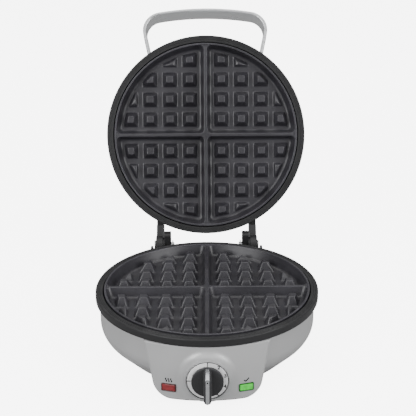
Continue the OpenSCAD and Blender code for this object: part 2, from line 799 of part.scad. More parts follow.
module arm_screw_places() {
    x = arm_x + arm_t / 2;
    for (n = [-26, -33.5])
        translate([x, 0.2 - sqrt(pow(cover_in_r(n - 3), 2) - pow(x + 3, 2)), n]) rotate([90, 0, 0]) children();
}

module left_hinge_arm() {
    color([0.18, 0.18, 0.19]) on_lid() mirror([1, 0, 0]) hinge_arm();
}

module right_hinge_arm() {
    color([0.18, 0.18, 0.19]) on_lid() hinge_arm();
}

module hinge_bushes() {
    color([0.8, 0.75, 0.6]) on_lid() both_sides()
        translate([arm_x, -hinge_y, axis_n]) rotate([0, 90, 0]) difference() {
            cylinder(r = pin_r + bush_t, h = arm_t);
            translate([0, 0, -1]) cylinder(r = pin_r + run, h = arm_t + 2);
        }
}

module hinge_arm_screws() {
    color("silver") on_lid() both_sides() arm_screw_places() screw(screw_r, 15, 2.9, 1.8);
}

// ---- Lid ----

module lid_cover() {
    color([0.75, 0.76, 0.77]) on_lid() difference() {
        rotate_extrude() polygon(concat(cover_points(0), backwards(cover_points(cover_t))));
        both_sides() arm_screw_places() cylinder(r = screw_r + fit, h = 20, center = true);
        both_sides() handle_tab(fit);
    }
}

module lid_bezel_ring() {
    color([0.2, 0.2, 0.21]) on_lid() bezel_ring();
}

module upper_grid_plate() {
    color([0.24, 0.24, 0.26]) on_lid() grid_plate();
}

module upper_heating_element() {
    color([0.45, 0.44, 0.42]) on_lid() lid_element();
}

// The lid's element has short ends, which stay under the cover
module lid_element() {
    intersection() {
        heating_element();
        translate([-far / 2, -far / 2, -shield_depth - 4]) cube([far, far, far]);
    }
}

module upper_element_clips() {
    color("silver") on_lid() element_clips();
}

module upper_heat_shield() {
    color("silver") on_lid() heat_shield();
}

module upper_plate_screws() {
    color("silver") on_lid() plate_screws();
}

// ---- Handle ----

module in_handle_plane() {
    translate([0, handle_foot[0], handle_foot[1]]) rotate([-handle_lean, 0, 0]) children();
}

// One leg's tab, through the cover's slot, with clearance c around it
module handle_tab(c) {
    x = corner_c[0] + (handle_corner - band_t / 2) / cos(leg_lean) - corner_c[1] * tan(leg_lean);
    in_handle_plane() translate([x, 0, -tab_from - tab_w / 2]) rotate([0, 0, -leg_lean])
        translate([-band_t / 2 - c, 1, -tab_w / 2 - c]) cube([band_t + 2 * c, 16, tab_w + 2 * c]);
}

module lid_handle() {
    outer = handle_side(0);
    inner = handle_side(band_t);
    color([0.82, 0.83, 0.85]) on_lid() difference() {
        union() {
            difference() {
                in_handle_plane() translate([0, 0, -band_w]) linear_extrude(band_w)
                    polygon(concat(outer, backwards(inner), backwards(mirrored(inner)), mirrored(outer)));
                translate([0, 0, -far / 2]) cylinder(r = cover_r + fit, h = far);
            }
            both_sides() handle_tab(0);
        }
        both_sides() handle_screw_place() cylinder(r = screw_r + run, h = 20, center = true);
    }
}

module handle_screw_place() {
    x = corner_c[0] + (handle_corner - band_t) / cos(leg_lean) - corner_c[1] * tan(leg_lean);
    in_handle_plane() translate([x, 0, -tab_from - tab_w / 2]) rotate([0, 0, -leg_lean])
        translate([0, 4.5, 0]) rotate([0, 90, 0]) children();
}

module handle_brackets() {
    color("silver") on_lid() both_sides() difference() {
        handle_screw_place() translate([-4, -4, -5]) cube([8, 6, 5]);
        handle_screw_place() cylinder(r = screw_r + fit, h = 30, center = true);
    }
}

module handle_screws() {
    color("silver") on_lid() both_sides() handle_screw_place() translate([0, 0, -5]) screw(screw_r, 8.4, 2.8, 1.6);
}

// ---- Knob ----

module control_knob() {
    grip_r = knob_r - 0.4;
    color([0.3, 0.3, 0.32]) on_base() on_knob_axis() difference() {
        union() {
            translate([0, 0, -knob_back_y]) cylinder(r = knob_r, h = knob_disc - 0.6);
            translate([0, 0, -knob_face_y - 0.6]) cylinder(r1 = knob_r, r2 = knob_r - 0.6, h = 0.6);
            intersection() {
                translate([0, 0, -knob_face_y - 1]) linear_extrude(grip_rise + 1) union() {
                    square([grip_w, 2 * grip_r - grip_w], center = true);
                    for (y = [-1, 1]) translate([0, y * (grip_r - grip_w / 2)]) circle(r = grip_w / 2);
                }
                along_x(-grip_w, grip_w) polygon([[-knob_r, -knob_face_y - 1], [knob_r, -knob_face_y - 1],
                    [knob_r - 0.5, -knob_face_y], [grip_r - 2.8, -grip_y], [-knob_r, -grip_y]]);
            }
        }
        translate([0, 0, -knob_back_y - 1]) shaft_section(shaft_r, 14);
    }
}

// A round shaft with a flat on one side
module shaft_section(r, h) {
    difference() {
        cylinder(r = r, h = h);
        translate([-r, r * 0.6, -1]) cube([2 * r, r, h + 2]);
    }
}

module knob_pointer() {
    grip_r = knob_r - 0.4;
    top = grip_r - 2.8;
    color([0.9, 0.9, 0.92]) on_base() on_knob_axis() along_x(-pointer_w / 2, pointer_w / 2)
        polygon([[-grip_r + 0.6, -grip_y], [top, -grip_y], [knob_r - 0.5, -knob_face_y],
                 [knob_r - 0.5 + pointer_t, -knob_face_y], [top + pointer_t, -grip_y + pointer_t],
                 [-grip_r + 0.6, -grip_y + pointer_t]]);
}

module thermostat_shaft() {
    bore_end = -knob_back_y + 13;
    color("silver") on_base() on_knob_axis() {
        translate([0, 0, -knob_back_y - 0.9]) shaft_section(shaft_r, bore_end - (-knob_back_y - 0.9) - 0.2);
        translate([0, 0, -cam_y - 3]) cylinder(r = shaft_r, h = cam_y - knob_back_y + 2.2);
        translate([0, 0, -cam_y - 0.8]) cylinder(r = 6, h = 2.6);
    }
}

base_housing();
control_panel();
base_bezel_ring();
rear_stand();
base_cover();
base_cover_screws();
rubber_feet();
stand_screws();
cord_inlet();
lower_grid_plate();
lower_heating_element();
lower_element_clips();
lower_heat_shield();
lower_plate_screws();
thermostat_body();
thermostat_bracket();
thermostat_screws();
dial_ring();
heating_lens();
ready_lens();
neon_lamps();
terminal_block();
thermal_fuse();
base_wiring();
hinge_pins();
hinge_pin_clips();
control_knob();
knob_pointer();
thermostat_shaft();
lid_cover();
lid_bezel_ring();
upper_grid_plate();
upper_heating_element();
upper_element_clips();
upper_heat_shield();
upper_plate_screws();
left_hinge_arm();
right_hinge_arm();
hinge_bushes();
hinge_arm_screws();
lid_handle();
handle_brackets();
handle_screws();
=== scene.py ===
import json
import math

import bmesh
import bpy
import numpy as np
from bpy.props import FloatProperty, FloatVectorProperty, IntProperty, PointerProperty
from mathutils import Matrix, Vector


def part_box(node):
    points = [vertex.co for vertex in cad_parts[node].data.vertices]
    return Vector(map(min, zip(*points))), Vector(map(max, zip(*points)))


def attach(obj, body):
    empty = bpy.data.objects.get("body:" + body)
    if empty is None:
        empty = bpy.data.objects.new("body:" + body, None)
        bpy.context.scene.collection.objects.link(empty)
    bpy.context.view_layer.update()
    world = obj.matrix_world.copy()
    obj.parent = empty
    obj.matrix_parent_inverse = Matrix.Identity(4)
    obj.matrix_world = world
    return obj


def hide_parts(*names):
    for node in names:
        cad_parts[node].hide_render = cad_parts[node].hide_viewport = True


bl_info = {
    "name": "Waffle maker",
    "version": (1, 0, 0),
    "blender": (4, 5, 0),
    "location": "3D Viewport > Sidebar > Waffle maker",
    "description": "Builds the visible pieces of a round waffle maker around its packed frame",
    "category": "Object",
}

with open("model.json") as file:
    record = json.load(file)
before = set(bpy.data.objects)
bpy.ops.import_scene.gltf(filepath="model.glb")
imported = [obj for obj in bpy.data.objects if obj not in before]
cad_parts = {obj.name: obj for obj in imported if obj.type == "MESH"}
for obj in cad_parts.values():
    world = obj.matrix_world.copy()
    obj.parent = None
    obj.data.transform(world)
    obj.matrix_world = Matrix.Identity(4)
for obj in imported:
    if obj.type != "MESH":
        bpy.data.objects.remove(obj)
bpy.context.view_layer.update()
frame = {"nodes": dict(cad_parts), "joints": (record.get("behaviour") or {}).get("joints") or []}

MM = 0.001
TURN = 2 * math.pi


# ---- Places taken from the frame ----


def joint(name):
    return next(j for j in frame["joints"] if j["name"] == name)


def middle(box):
    return (box[0] + box[1]) / 2


RING_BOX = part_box("base_bezel_ring")
RING_R = (RING_BOX[1].y - RING_BOX[0].y) / 2
BASE_Y = middle(RING_BOX).y
RING_TOP = RING_BOX[1].z
PLATE_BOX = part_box("lower_grid_plate")
PLATE_R = (PLATE_BOX[1].y - PLATE_BOX[0].y) / 2
LIP_HEIGHT = PLATE_BOX[1].z - RING_TOP
HOUSING_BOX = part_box("base_housing")
HOUSING_R = (HOUSING_BOX[1].x - HOUSING_BOX[0].x) / 2
PANEL_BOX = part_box("control_panel")
DIAL_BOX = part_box("dial_ring")
KNOB_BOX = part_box("control_knob")
KNOB_Z = middle(KNOB_BOX).z
COVER_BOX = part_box("lid_cover")
COVER_R = (COVER_BOX[1].x - COVER_BOX[0].x) / 2
HINGE = Vector(joint("lid_hinge")["pos_m"])
OPEN_ANGLE = math.radians(joint("lid_hinge")["range_deg"][1])


# ---- Sizes and colours a user would change ----


def size(name, description, default):
    return FloatProperty(name=name, description=description, default=default, min=0.0, max=1.0,
                         subtype="DISTANCE", unit="LENGTH")


def colour(name, description, default):
    return FloatVectorProperty(name=name, description=description, default=default, size=3,
                               min=0.0, max=1.0, subtype="COLOR")


class WaffleSizes(bpy.types.PropertyGroup):
    """Sizes of the visible details"""

    closed_gap: size("Closed gap", "Gap between the two ring faces when the lid is closed", 3.6 * MM)
    ring_face: size("Ring face", "Width of a bezel ring's flat face", 7.6 * MM)
    ring_side: size("Ring side", "Height of a bezel ring's outer side", 7.7 * MM)
    floor_depth: size("Floor depth", "Depth of a plate's floor below the ring face", 10.6 * MM)
    stud_pitch: size("Stud pitch", "Distance between two studs", 22.7 * MM)
    stud_start: size("Stud start", "Distance from a cross rib's middle to the first studs", 18.1 * MM)
    stud_base: size("Stud base", "Width of a stud at the floor", 16.2 * MM)
    stud_top: size("Stud top", "Width of a stud's flat top", 7.6 * MM)
    stud_drop: size("Stud drop", "Depth of a stud's top below the ring face", 1.5 * MM)
    stud_reach: size("Stud reach", "Radius that the studs are cut to", 94.4 * MM)
    rib_top: size("Rib top", "Width of a cross rib at its top", 3.3 * MM)
    pocket_corner: size("Pocket corner", "Radius of a quarter pocket's corners", 5.0 * MM)
    panel_bow: size("Panel bow", "Radius of the control panel's bowed front", 140 * MM)
    panel_edge: size("Panel edge", "Rounding of the control panel's edges", 2.4 * MM)
    boss_foot: size("Boss foot", "Radius at which the dial's boss leaves the panel", 28.5 * MM)
    digit_height: size("Digit height", "Height of the dial's numbers", 3.6 * MM)
    band: size("Band", "Thickness of the handle's band", 4.0 * MM)
    band_width: size("Band width", "Width of the handle's band", 26.0 * MM)
    smoothness: IntProperty(name="Smoothness", description="Points around the large circles",
                            default=256, min=64, max=512)


class WaffleColours(bpy.types.PropertyGroup):
    """Base colours of the finishes"""

    silver: colour("Silver paint", "Satin paint of the base", (0.47, 0.472, 0.476))
    resin: colour("Black resin", "Moulded resin of the rings and the hinge", (0.018, 0.018, 0.019))
    coating: colour("Non-stick coating", "Coating of the grid plates", (0.024, 0.023, 0.028))
    steel: colour("Brushed steel", "Cover of the lid", (0.60, 0.61, 0.62))
    handle: colour("Handle", "Satin casting of the handle", (0.66, 0.67, 0.68))
    knob: colour("Knob", "Moulded resin of the knob", (0.036, 0.036, 0.038))
    dial: colour("Dial", "Satin plate of the dial", (0.80, 0.80, 0.81))
    mark: colour("Marks", "Print on the dial and the panel", (0.004, 0.004, 0.005))
    red_lens: colour("Red lens", "Lens of the heating lamp", (0.22, 0.022, 0.025))
    green_lens: colour("Green lens", "Lens of the ready lamp", (0.05, 0.50, 0.045))


def sizes():
    return bpy.context.scene.waffle_sizes


def colours():
    return bpy.context.scene.waffle_colours


# ---- Frames of the base and the lid ----


def base_frame():
    """Origin in the middle of the base ring's face, +Z out of it"""
    return Matrix.Translation((0, BASE_Y, RING_TOP))


def lid_frame():
    """Origin in the middle of the lid ring's face, +Y to the handle and +Z out of it"""
    to_axis = Matrix.Translation((0, BASE_Y - HINGE.y, RING_TOP + sizes().closed_gap - HINGE.z))
    swing = Matrix.Translation(HINGE) @ Matrix.Rotation(-OPEN_ANGLE, 4, "X")
    return swing @ to_axis @ Matrix.Rotation(math.pi, 4, "X")


# ---- Mesh helpers ----


def add_piece(name, verts, faces, place=None, sharp=32):
    """A mesh object with smooth faces, and sharp edges above an angle in degrees"""
    mesh = bpy.data.meshes.new(name)
    mesh.from_pydata([tuple(v) for v in verts], [], faces)
    bm = bmesh.new()
    bm.from_mesh(mesh)
    bmesh.ops.remove_doubles(bm, verts=bm.verts, dist=1e-7)
    bmesh.ops.recalc_face_normals(bm, faces=bm.faces)
    bm.to_mesh(mesh)
    bm.free()
    if place is not None:
        mesh.transform(place)
    mesh.shade_smooth()
    mesh.set_sharp_from_angle(angle=math.radians(sharp))
    piece = bpy.data.objects.new(name, mesh)
    bpy.context.scene.collection.objects.link(piece)
    return piece


def even_shading(piece):
    """Flat faces stay flat beside rounded edges"""
    modifier = piece.modifiers.new("Even shading", "WEIGHTED_NORMAL")
    modifier.keep_sharp = True
    return piece


def arc(centre, radius, start, end, count):
    """Points on an arc between two angles in degrees"""
    angles = np.radians(np.linspace(start, end, count))
    return [(centre[0] + radius * math.cos(a), centre[1] + radius * math.sin(a)) for a in angles]


def rounded(corners, steps=6):
    """A closed outline from (x, y, radius) corners, each rounded by its radius"""
    outline = []
    count = len(corners)
    for i, (x, y, radius) in enumerate(corners):
        here = np.array((x, y))
        to_last = np.array(corners[i - 1][:2]) - here
        to_next = np.array(corners[(i + 1) % count][:2]) - here
        last_len, next_len = np.linalg.norm(to_last), np.linalg.norm(to_next)
        to_last, to_next = to_last / last_len, to_next / next_len
        half = math.acos(np.clip(to_last @ to_next, -1, 1)) / 2
        if radius <= 0 or half > math.radians(89):
            outline.append((x, y))
            continue
        run = min(radius / math.tan(half), 0.49 * last_len, 0.49 * next_len)
        radius = run * math.tan(half)
        middle_way = (to_last + to_next) / np.linalg.norm(to_last + to_next)
        centre = here + middle_way * radius / math.sin(half)
        a, b = here + to_last * run - centre, here + to_next * run - centre
        start = math.atan2(a[1], a[0])
        sweep = (math.atan2(b[1], b[0]) - start + math.pi) % TURN - math.pi
        for k in range(steps + 1):
            angle = start + sweep * k / steps
            outline.append((centre[0] + radius * math.cos(angle), centre[1] + radius * math.sin(angle)))
    return outline


def turned(outline, closed=True):
    """Vertices and faces of a (radius, height) outline turned about Z"""
    verts, faces = [], []
    count = sizes().smoothness
    rows = len(outline)
    for k in range(count):
        c, s = math.cos(TURN * k / count), math.sin(TURN * k / count)
        verts += [(r * c, r * s, z) for r, z in outline]
    last = rows if closed else rows - 1
    for k in range(count):
        a, b = k * rows, (k + 1) % count * rows
        for i in range(last):
            j = (i + 1) % rows
            faces.append((a + i, b + i, b + j, a + j))
    return verts, faces


def lathe(name, outline, place, closed=True):
    """A piece turned about the Z axis of its place"""
    return even_shading(add_piece(name, *turned(outline, closed), place=place))


def loft(loops, cap_first=False, cap_last=True):
    """Vertices and faces that join closed loops of equal length, one after another"""
    n = len(loops[0])
    verts = [tuple(p) for loop in loops for p in loop]
    faces = []
    for i in range(len(loops) - 1):
        for k in range(n):
            m = (k + 1) % n
            faces.append((i * n + k, i * n + m, (i + 1) * n + m, (i + 1) * n + k))
    if cap_first:
        faces.append(tuple(reversed(range(n))))
    if cap_last:
        faces.append(tuple((len(loops) - 1) * n + k for k in range(n)))
    return verts, faces


def join_parts(parts):
    """One list of vertices and one of faces out of several (verts, faces) pairs"""
    verts, faces = [], []
    for part_verts, part_faces in parts:
        first = len(verts)
        verts += list(part_verts)
        faces += [tuple(first + i for i in face) for face in part_faces]
    return verts, faces


def star_loop(inside, centre, rays, reach):
    """The outline of a region, found along rays from a point in it. inside(x, y) is negative in the region"""
    halvings = 44
    low, high = np.zeros(len(rays)), np.full(len(rays), reach)
    for _ in range(halvings):
        mid = (low + high) / 2
        within = inside(centre[0] + mid * rays[:, 0], centre[1] + mid * rays[:, 1]) < 0
        low, high = np.where(within, mid, low), np.where(within, high, mid)
    return np.c_[centre[0] + low * rays[:, 0], centre[1] + low * rays[:, 1]]


def rays_at(angles):
    return np.c_[np.cos(angles), np.sin(angles)]


def rounded_region(distances, corner):
    """Negative inside a region given by distances to its sides, with its corners rounded"""
    total = sum(np.maximum(corner - d, 0.0) ** 2 for d in distances)
    return np.sqrt(total) - corner


# ---- Shader helpers ----


def new_group(name, inputs, outputs):
    """A shader node group with named inputs (name, default) and outputs (name, socket type)"""
    group = bpy.data.node_groups.new(name, "ShaderNodeTree")
    for label, default in inputs:
        socket = group.interface.new_socket(name=label, in_out="INPUT", socket_type="NodeSocketFloat")
        socket.default_value = default
    for label, kind in outputs:
        group.interface.new_socket(name=label, in_out="OUTPUT", socket_type=kind)
    return group, group.nodes.new("NodeGroupInput"), group.nodes.new("NodeGroupOutput")


def add_node(tree, kind, **values):
    node = tree.nodes.new(kind)
    for key, value in values.items():
        setattr(node, key, value)
    return node


def maths(tree, operation, a, b):
    """A Math node; a and b are numbers or sockets"""
    node = add_node(tree, "ShaderNodeMath", operation=operation)
    for i, value in enumerate((a, b)):
        if isinstance(value, (int, float)):
            node.inputs[i].default_value = value
        else:
            tree.links.new(value, node.inputs[i])
    return node.outputs[0]


def ramp(tree, value, low, high, out_low=0.0, out_high=1.0):
    """Spreads a value from one range to another"""
    node = add_node(tree, "ShaderNodeMapRange")
    for i, number in enumerate((low, high, out_low, out_high)):
        node.inputs[i + 1].default_value = number
    tree.links.new(value, node.inputs[0])
    return node.outputs[0]


def noise(tree, vector, scale, detail=2.0, rough=0.5):
    node = add_node(tree, "ShaderNodeTexNoise")
    node.inputs["Scale"].default_value = scale
    node.inputs["Detail"].default_value = detail
    node.inputs["Roughness"].default_value = rough
    tree.links.new(vector, node.inputs["Vector"])
    return node.outputs["Fac"]


def coordinates(tree):
    return add_node(tree, "ShaderNodeTexCoord").outputs["Object"]


def end_mask(group, entry, leave, first, second):
    """Closes a group: its mask is two values and the amount, multiplied"""
    both = maths(group, "MULTIPLY", first, second)
    group.links.new(maths(group, "MULTIPLY", both, entry.outputs["Amount"]), leave.inputs["Mask"])
    return group


def grain_group():
    """Fine moulded or cast grain: a height, and a slow mottle for colour and roughness"""
    group, entry, leave = new_group("Fine grain", [("Grain scale", 2200.0), ("Mottle scale", 30.0)],
                                    [("Height", "NodeSocketFloat"), ("Mottle", "NodeSocketFloat")])
    place = coordinates(group)
    for detail, scale, result in ((2.0, "Grain scale", "Height"), (3.0, "Mottle scale", "Mottle")):
        node = add_node(group, "ShaderNodeTexNoise")
        node.inputs["Detail"].default_value = detail
        group.links.new(place, node.inputs["Vector"])
        group.links.new(entry.outputs[scale], node.inputs["Scale"])
        group.links.new(node.outputs["Fac"], leave.inputs[result])
    return group


def wear_group():
    """A mask of rubbed edges: 1 on the crests of sharp edges, broken up by noise"""
    group, entry, leave = new_group("Edge wear", [("Width", 0.0008), ("Amount", 1.0)],
                                    [("Mask", "NodeSocketFloat")])
    place = coordinates(group)
    bevel = add_node(group, "ShaderNodeBevel", samples=4)
    group.links.new(entry.outputs["Width"], bevel.inputs["Radius"])
    plain = add_node(group, "ShaderNodeNewGeometry").outputs["Normal"]
    turn = add_node(group, "ShaderNodeVectorMath", operation="DOT_PRODUCT")
    group.links.new(bevel.outputs[0], turn.inputs[0])
    group.links.new(plain, turn.inputs[1])
    edge = ramp(group, turn.outputs["Value"], 0.995, 0.86)
    broken = ramp(group, noise(group, place, 420.0, 3.0), 0.38, 0.62, 0.35, 1.0)
    return end_mask(group, entry, leave, edge, broken)


def dust_group():
    """Faint dust and handling marks that settle on faces which look up"""
    group, entry, leave = new_group("Settled dust", [("Amount", 0.1)], [("Mask", "NodeSocketFloat")])
    place = coordinates(group)
    split = add_node(group, "ShaderNodeSeparateXYZ")
    group.links.new(add_node(group, "ShaderNodeNewGeometry").outputs["Normal"], split.inputs[0])
    up = ramp(group, split.outputs["Z"], 0.2, 1.0)
    patch = ramp(group, noise(group, place, 60.0, 5.0, 0.6), 0.42, 0.7)
    return end_mask(group, entry, leave, up, patch)


GROUP_MAKERS = {"Fine grain": grain_group, "Edge wear": wear_group, "Settled dust": dust_group}


def place_group(tree, name, **values):
    group = bpy.data.node_groups.get(name) or GROUP_MAKERS[name]()
    node = add_node(tree, "ShaderNodeGroup", node_tree=group)
    for key, value in values.items():
        node.inputs[key.replace("_", " ").capitalize()].default_value = value
    return node


def mixed(tree, mask, first, second):
    """A colour between two, each an RGB triple or a socket"""
    node = add_node(tree, "ShaderNodeMix", data_type="RGBA")
    tree.links.new(mask, node.inputs["Factor"])
    for socket, value in ((node.inputs[6], first), (node.inputs[7], second)):
        if isinstance(value, bpy.types.NodeSocket):
            tree.links.new(value, socket)
        else:
            socket.default_value = (*value, 1.0)
    return node.outputs[2]


def times(rgb, factor):
    return tuple(min(1.0, c * factor) for c in rgb)


def bump(tree, shader, height, strength, distance):
    node = add_node(tree, "ShaderNodeBump")
    node.inputs["Strength"].default_value = strength
    node.inputs["Distance"].default_value = distance
    tree.links.new(height, node.inputs["Height"])
    tree.links.new(node.outputs[0], shader.inputs["Normal"])


def finish_start(name, **plain):
    """A new material with its Principled shader; plain values are set on the shader's own sockets"""
    material = bpy.data.materials.new(name)
    material.use_nodes = True
    shader = material.node_tree.nodes["Principled BSDF"]
    for key, value in plain.items():
        shader.inputs[key.replace("_", " ")].default_value = value
    return material, material.node_tree, shader


def grained_finish(name, rgb, metallic, rough, grain=2200.0, grain_depth=0.02 * MM, mottle=0.06,
                   wear=0.5, wear_tint=1.8, dust=0.03, **plain):
    """A painted, moulded or coated surface: grain, mottle, rubbed edges and dust"""
    material, tree, shader = finish_start(name, Metallic=metallic, **plain)
    fine = place_group(tree, "Fine grain", grain_scale=grain)
    edges = place_group(tree, "Edge wear", width=0.8 * MM, amount=wear)
    settled = place_group(tree, "Settled dust", amount=dust)
    cloud = ramp(tree, fine.outputs["Mottle"], 0.3, 0.7)
    body = mixed(tree, cloud, times(rgb, 1 - mottle), times(rgb, 1 + mottle))
    worn = mixed(tree, edges.outputs["Mask"], body, times(rgb, wear_tint))
    dusty = mixed(tree, settled.outputs["Mask"], worn, (0.5, 0.49, 0.47))
    tree.links.new(dusty, shader.inputs["Base Color"])
    spread = ramp(tree, fine.outputs["Mottle"], 0.3, 0.7, rough - 0.05, rough + 0.05)
    tree.links.new(maths(tree, "ADD", spread, maths(tree, "MULTIPLY", settled.outputs["Mask"], 0.5)),
                   shader.inputs["Roughness"])
    bump(tree, shader, fine.outputs["Height"], 0.35, grain_depth)
    return material


def silver_finish(name, rgb):
    return grained_finish(name, rgb, 0.35, 0.44, grain=3200.0, grain_depth=0.012 * MM, mottle=0.025,
                          wear=0.25, wear_tint=1.12, dust=0.02)


def resin_finish():
    return grained_finish("Black resin", colours().resin, 0.0, 0.46, grain=2600.0, grain_depth=0.03 * MM,
                          wear=0.5, wear_tint=2.2, dust=0.02, Specular_IOR_Level=0.35)


def coating_finish():
    """Non-stick coating over cast aluminium: satin, faintly speckled, lighter where edges are rubbed"""
    material, tree, shader = finish_start("Non-stick coating", Metallic=0.0, Specular_IOR_Level=0.5,
                                          Coat_Weight=0.25, Coat_Roughness=0.28)
    place = coordinates(tree)
    fine = place_group(tree, "Fine grain", grain_scale=1500.0, mottle_scale=22.0)
    edges = place_group(tree, "Edge wear", width=1.1 * MM, amount=0.8)
    settled = place_group(tree, "Settled dust", amount=0.05)
    rgb = colours().coating
    body = mixed(tree, ramp(tree, fine.outputs["Mottle"], 0.3, 0.7), times(rgb, 0.82), times(rgb, 1.25))
    specks = ramp(tree, noise(tree, place, 5200.0, 1.0), 0.66, 0.74)
    speckled = mixed(tree, specks, body, times(rgb, 3.2))
    worn = mixed(tree, edges.outputs["Mask"], speckled, times(rgb, 5.5))
    dusty = mixed(tree, settled.outputs["Mask"], worn, (0.4, 0.38, 0.35))
    tree.links.new(dusty, shader.inputs["Base Color"])
    tree.links.new(ramp(tree, fine.outputs["Mottle"], 0.3, 0.7, 0.36, 0.5), shader.inputs["Roughness"])
    bump(tree, shader, fine.outputs["Height"], 0.3, 0.05 * MM)
    return material


def brushed_finish(name, rgb, metallic=1.0, rough=0.3, stretch=(14.0, 900.0, 14.0), wear=0.3):
    """Metal brushed along one way: long thin streaks in roughness, colour and height"""
    material, tree, shader = finish_start(name, Metallic=metallic)
    place = coordinates(tree)
    long = add_node(tree, "ShaderNodeMapping")
    long.inputs["Scale"].default_value = stretch
    tree.links.new(place, long.inputs["Vector"])
    streak = noise(tree, long.outputs[0], 3.0, 6.0, 0.65)
    edges = place_group(tree, "Edge wear", width=0.6 * MM, amount=wear)
    body = mixed(tree, ramp(tree, streak, 0.3, 0.7), times(rgb, 0.86), times(rgb, 1.1))
    tree.links.new(mixed(tree, edges.outputs["Mask"], body, times(rgb, 1.3)), shader.inputs["Base Color"])
    tree.links.new(ramp(tree, streak, 0.3, 0.7, rough - 0.07, rough + 0.09), shader.inputs["Roughness"])
    bump(tree, shader, streak, 0.25, 0.02 * MM)
    return material


def lens_finish(name, rgb, glow):
    """Clear coloured plastic with fine prisms moulded in its back"""
    material, tree, shader = finish_start(name, Metallic=0.0, Coat_Weight=0.2, Coat_Roughness=0.1)
    place = coordinates(tree)
    waves = add_node(tree, "ShaderNodeTexWave", wave_type="BANDS", bands_direction="X")
    waves.inputs["Scale"].default_value = 260.0
    waves.inputs["Distortion"].default_value = 0.3
    tree.links.new(place, waves.inputs["Vector"])
    cloud = noise(tree, place, 240.0, 2.0)
    body = mixed(tree, ramp(tree, cloud, 0.35, 0.65), times(rgb, 0.85), times(rgb, 1.2))
    tree.links.new(body, shader.inputs["Base Color"])
    tree.links.new(body, shader.inputs["Emission Color"])
    shader.inputs["Emission Strength"].default_value = glow
    tree.links.new(ramp(tree, cloud, 0.3, 0.7, 0.16, 0.26), shader.inputs["Roughness"])
    bump(tree, shader, waves.outputs["Fac"], 0.25, 0.05 * MM)
    return material


FINISH_MAKERS = {
    "silver_paint": lambda: silver_finish("Silver paint", colours().silver),
    # painted light: the panel takes the housing's silver paint made 6% lighter, a lit copy of the same paint
    "panel_silver": lambda: silver_finish("Panel silver painted lighter", times(colours().silver, 1.06)),
    "black_resin": resin_finish,
    "nonstick": coating_finish,
    "brushed_cover": lambda: brushed_finish("Brushed steel", colours().steel),
    "cast_handle": lambda: grained_finish("Handle satin", colours().handle, 0.85, 0.3, grain=2800.0,
                                          mottle=0.03, wear=0.3, wear_tint=1.15, dust=0.0),
    "knob_resin": lambda: grained_finish("Knob resin", colours().knob, 0.0, 0.45, grain=2400.0,
                                         grain_depth=0.03 * MM, wear=0.5, wear_tint=1.7, dust=0.0,
                                         Specular_IOR_Level=0.25),
    "dial_silver": lambda: brushed_finish("Dial plate", colours().dial, 0.1, 0.4, (900.0, 14.0, 14.0)),
    "bright_trim": lambda: brushed_finish("Bright strip", (0.62, 0.63, 0.65), 1.0, 0.2, (14.0, 14.0, 300.0)),
    "red_lens": lambda: lens_finish("Red lens", colours().red_lens, 0.08),
    "green_lens": lambda: lens_finish("Green lens", colours().green_lens, 0.5),
    "foot_rubber": lambda: grained_finish("Foot rubber", (0.02, 0.02, 0.021), 0.0, 0.75, grain=1800.0,
                                          grain_depth=0.04 * MM, wear=0.3, wear_tint=2.0, dust=0.25),
    "sheet_steel": lambda: brushed_finish("Sheet steel", (0.5, 0.5, 0.5), 1.0, 0.38, (40.0, 400.0, 40.0)),
    "steel_screw": lambda: brushed_finish("Screw steel", (0.55, 0.56, 0.57), 1.0, 0.3, (500.0, 500.0, 40.0)),
    "element_sheath": lambda: grained_finish("Element sheath", (0.22, 0.2, 0.18), 0.8, 0.5, grain=1600.0,
                                             mottle=0.25, dust=0.0),
    "ceramic": lambda: grained_finish("Glazed ceramic", (0.72, 0.68, 0.58), 0.0, 0.3, grain=900.0,
                                      mottle=0.04, wear=0.2, wear_tint=0.8, dust=0.0, Coat_Weight=0.4),
    "lead_sleeve": lambda: grained_finish("Lead sleeve", (0.6, 0.59, 0.54), 0.0, 0.8, grain=1300.0,
                                          grain_depth=0.2 * MM, dust=0.0),
    "lamp_glass": lambda: lens_finish("Lamp glass", (0.75, 0.4, 0.22), 0.2),
    # painted shade: the lens frames take the lens colour darkened to about a quarter, for the dark border
    # round each lens
    "red_lens_rim": lambda: lens_finish("Red lens rim painted shade", times(colours().red_lens, 0.28), 0.0),
    "green_lens_rim": lambda: lens_finish("Green lens rim painted shade", times(colours().green_lens, 0.22), 0.0),
    # painted reflection: near-white brushed finish for the dial's upper-left quarter, where its metal catches
    # the light
    "dial_painted_reflection": lambda: brushed_finish("Dial painted reflection", (0.97, 0.97, 0.97), 0.0, 0.3, (900.0, 14.0, 14.0)),
    "print": lambda: grained_finish("Print", colours().mark, 0.0, 0.6, grain=3000.0, wear=0.0, dust=0.0,
                                    Specular_IOR_Level=0.1),
}
MADE_FINISHES = {}


def finish_of(slot):
    if slot not in MADE_FINISHES:
        MADE_FINISHES[slot] = FINISH_MAKERS[slot]()
    return MADE_FINISHES[slot]


def settle(piece, body, slot, *nodes, finish=None):
    """Gives a piece its finish and its body, and hides the CAD nodes it stands for"""
    piece.data.materials.clear()
    piece.data.materials.append(finish_of(finish or slot))
    if nodes:
        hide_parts(*nodes)
    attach(piece, body)


# ---- Grid plates ----

WALL_SLOPE = math.tan(math.radians(17))
LIP_WIDTH = 2 * MM
LIP_IN = PLATE_R - LIP_WIDTH
PLATE_LOW = 14 * MM
STUD_COLUMNS = 4
QUARTER_REACH = 98 * MM     # where a cross rib meets the plate's wall
CORNER_RUN = 9 * MM         # how far a pocket's corner takes extra points
STUD_ROUND = 1.2 * MM       # radius of a stud's upright edges
CLIPPED_SLOPE = 0.39        # how far a stud's clipped side leans in


def wall_radius(z):
    return LIP_IN - (LIP_HEIGHT - z) * WALL_SLOPE


def rib_half(z):
    return sizes().rib_top / 2 - 0.278 * z


def stud_half(z):
    s = sizes()
    share = (-z - s.stud_drop) / (s.floor_depth - s.stud_drop)
    return (s.stud_top + (s.stud_base - s.stud_top) * share) / 2


